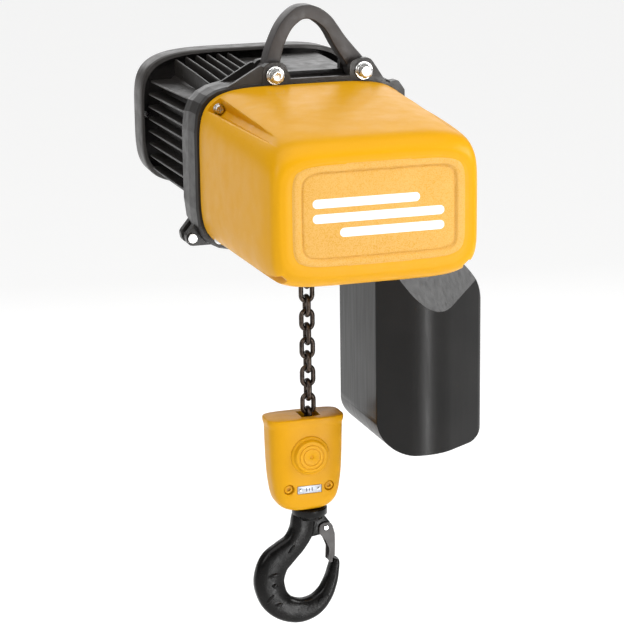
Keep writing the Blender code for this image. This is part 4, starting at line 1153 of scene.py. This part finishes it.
def hook():
    path = smooth_rows(HOOK_PATH, 7)
    section = hook_section()
    rings = bar_sections(path, section, lambda t: 9.5 - 1.6 * max(0.0, (t - 0.75) / 0.25) ** 2)
    x = path[-1][0]
    tip = [
        [(x + (px - x) * share, py * share, pz + rise) for px, py, pz in rings[-1]]
        for share, rise in ((0.9, 0.55), (0.6, 0.9), (0.2, 1.0))
    ]
    bar = loft("hook_body", rings + tip, "forged")
    neck = turned("neck", "Z", (0, 0), [
        (-468, 0), (-468, 7.4), (-468.8, 8), (-513.7, 8), (-513.8, 17.8), (-514.6, 18.6),
        (-520.6, 18.8), (-521.6, 18.0), (-524.5, 14.6), (-526.5, 13.4), (-526.5, 0),
    ], "forged", 96)
    ear = prism("ear", "Y", fillet([
        (-6, -548, 3), (-6, -523, 3), (14, -523, 6), (23.5, -536, 6.5), (16, -545, 6),
    ], 10), -4.6, 4.6, "forged")
    soften(ear, 1.0, 3)
    marks = []
    for i, (cx, cz, a, b, turn) in enumerate((
        (-43.0, -583.5, 6.4, 2.3, 8), (-42.0, -595.5, 3.4, 2.6, -20), (-47.0, -609.0, 6.0, 1.7, 48),
        (-38.0, -617.0, 4.4, 2.2, 12), (-23.0, -556.5, 6.0, 1.6, 52), (8.5, -617.0, 4.4, 1.5, 42),
    )):
        mark = turned(f"mark_{i}", "Y", (0, 0), [
            (-10.6, 0), (-10.5, 0.45), (-10.1, 0.78), (-9.4, 0.95), (-8.0, 1.05), (-8.0, 0),
        ], "forged", 32)
        mark.data.transform(
            Matrix.Translation(Vector((cx, 0, cz)) * MM)
            @ Matrix.Rotation(-math.radians(turn), 4, "Y")
            @ Matrix.Diagonal((a, 1, b, 1))
        )
        marks.append(mark)
    body = join(bar, neck, ear, *marks)
    smooth(body, 42)
    place(body, "swivel_hook", "black_steel", "hook")


# ---------------------------------------------------------------- CAD nodes that stay

# Width in millimetres, and segments
BEVELS = {
    "main_housing": (0.9, 3), "terminal_cover": (0.8, 2), "hook_latch": (0.55, 2), "limit_lever": (0.5, 2),
    "lug_pin": (0.3, 2), "container_bracket": (0.4, 2), "hook_nut": (0.4, 2), "gear_plate": (0.6, 2),
    "contactor": (0.5, 2), "control_board": (0.2, 2),
}
LOOK_OF_NODE = {"hook_latch": "bar"}


def finish_cad_nodes():
    slots = {part["node"]: part["material_slot"] for part in frame["record"]["subparts"]}
    for name, obj in NODES.items():
        if obj.hide_render:
            continue
        look = LOOK_OF_NODE.get(name, SLOT_LOOKS[slots[name]])
        obj.data.materials.clear()
        obj.data.materials.append(LOOKS[look])
        if name in BEVELS:
            weld = obj.modifiers.new("weld", "WELD")
            weld.merge_threshold = 1e-5
            soften(obj, *BEVELS[name], 28)


# ---------------------------------------------------------------- studio


def area_light(name, place_at, look_at, size, power, colour=(1, 1, 1)):
    data = bpy.data.lights.new(name, "AREA")
    data.shape = "RECTANGLE"
    data.size, data.size_y = size
    data.energy = power
    data.color = colour
    obj = bpy.data.objects.new(name, data)
    bpy.context.scene.collection.objects.link(obj)
    obj.location = place_at
    obj.rotation_euler = (Vector(look_at) - Vector(place_at)).to_track_quat("-Z", "Y").to_euler()
    return obj


def studio():
    world = bpy.data.worlds.new("studio")
    world.use_nodes = True
    background = world.node_tree.nodes["Background"]
    background.inputs["Color"].default_value = (1.0, 1.0, 1.0, 1.0)
    background.inputs["Strength"].default_value = 0.2
    bpy.context.scene.world = world
    floor_look = Look("studio_floor", (0.96, 0.96, 0.957), 0.7)
    floor_look.set(Emission_Color=(1.0, 1.0, 1.0, 1.0), Emission_Strength=0.12)
    floor_look.tint(floor_look.ramp(floor_look.noise(300, 3), 0.3, 0.7, 0.0, 0.15), (0.94, 0.94, 0.935))
    floor_look.bump(floor_look.noise(20, 2), 0.1)
    bm = bmesh.new()
    bmesh.ops.create_grid(bm, x_segments=8, y_segments=8, size=24.0)
    floor = from_bmesh("studio_floor", bm, None, recalc=False)
    floor.data.materials.append(floor_look.material)
    floor.location = (0, 0, -1.5)
    middle = (0.0, 0.0, -0.3)
    area_light("key", (-2.2, -1.3, 0.9), middle, (1.0, 1.2), 22)
    area_light("strip", (0.74, -2.0, -0.7), (0.1, 0, -0.35), (0.22, 1.4), 19)
    area_light("right", (1.7, -1.0, 0.75), (0.1, 0, -0.25), (0.9, 0.9), 36)
    area_light("back", (0.8, 4.0, 1.3), middle, (4.0, 2.2), 42)
    sun = bpy.data.lights.new("overhead", "SUN")
    sun.energy = 2.15
    sun.angle = math.radians(70)
    overhead = bpy.data.objects.new("overhead", sun)
    bpy.context.scene.collection.objects.link(overhead)
    overhead.rotation_euler = (math.radians(8), math.radians(-10), 0)


def camera():
    data = bpy.data.cameras.new("camera")
    data.sensor_width = 36.0
    data.lens = 129.8
    obj = bpy.data.objects.new("camera", data)
    bpy.context.scene.collection.objects.link(obj)
    azimuth, elevation, roll = (math.radians(v) for v in (-18.0, 14.3, -0.75))
    back = Vector((
        math.cos(elevation) * math.sin(azimuth),
        -math.cos(elevation) * math.cos(azimuth),
        math.sin(elevation),
    ))
    right = (-back).cross(Vector((0, 0, 1))).normalized()
    up = right.cross(-back)
    turned_right = right * math.cos(roll) + up * math.sin(roll)
    turned_up = up * math.cos(roll) - right * math.sin(roll)
    matrix = Matrix((turned_right, turned_up, back)).transposed().to_4x4()
    matrix.translation = Vector((-0.6896, -2.1399, 0.2701))
    obj.matrix_world = matrix
    data.clip_start, data.clip_end = 0.05, 60.0
    bpy.context.scene.camera = obj


front_cover()
panel_bars()
cover_screws()
suspension_eye()
eye_bolts()
motor_housing()
fan_cover()
chains()
container()
hook_block()
block_trim()
hook()
finish_cad_nodes()
studio()
camera()
bpy.context.scene.view_settings.view_transform = "Standard"
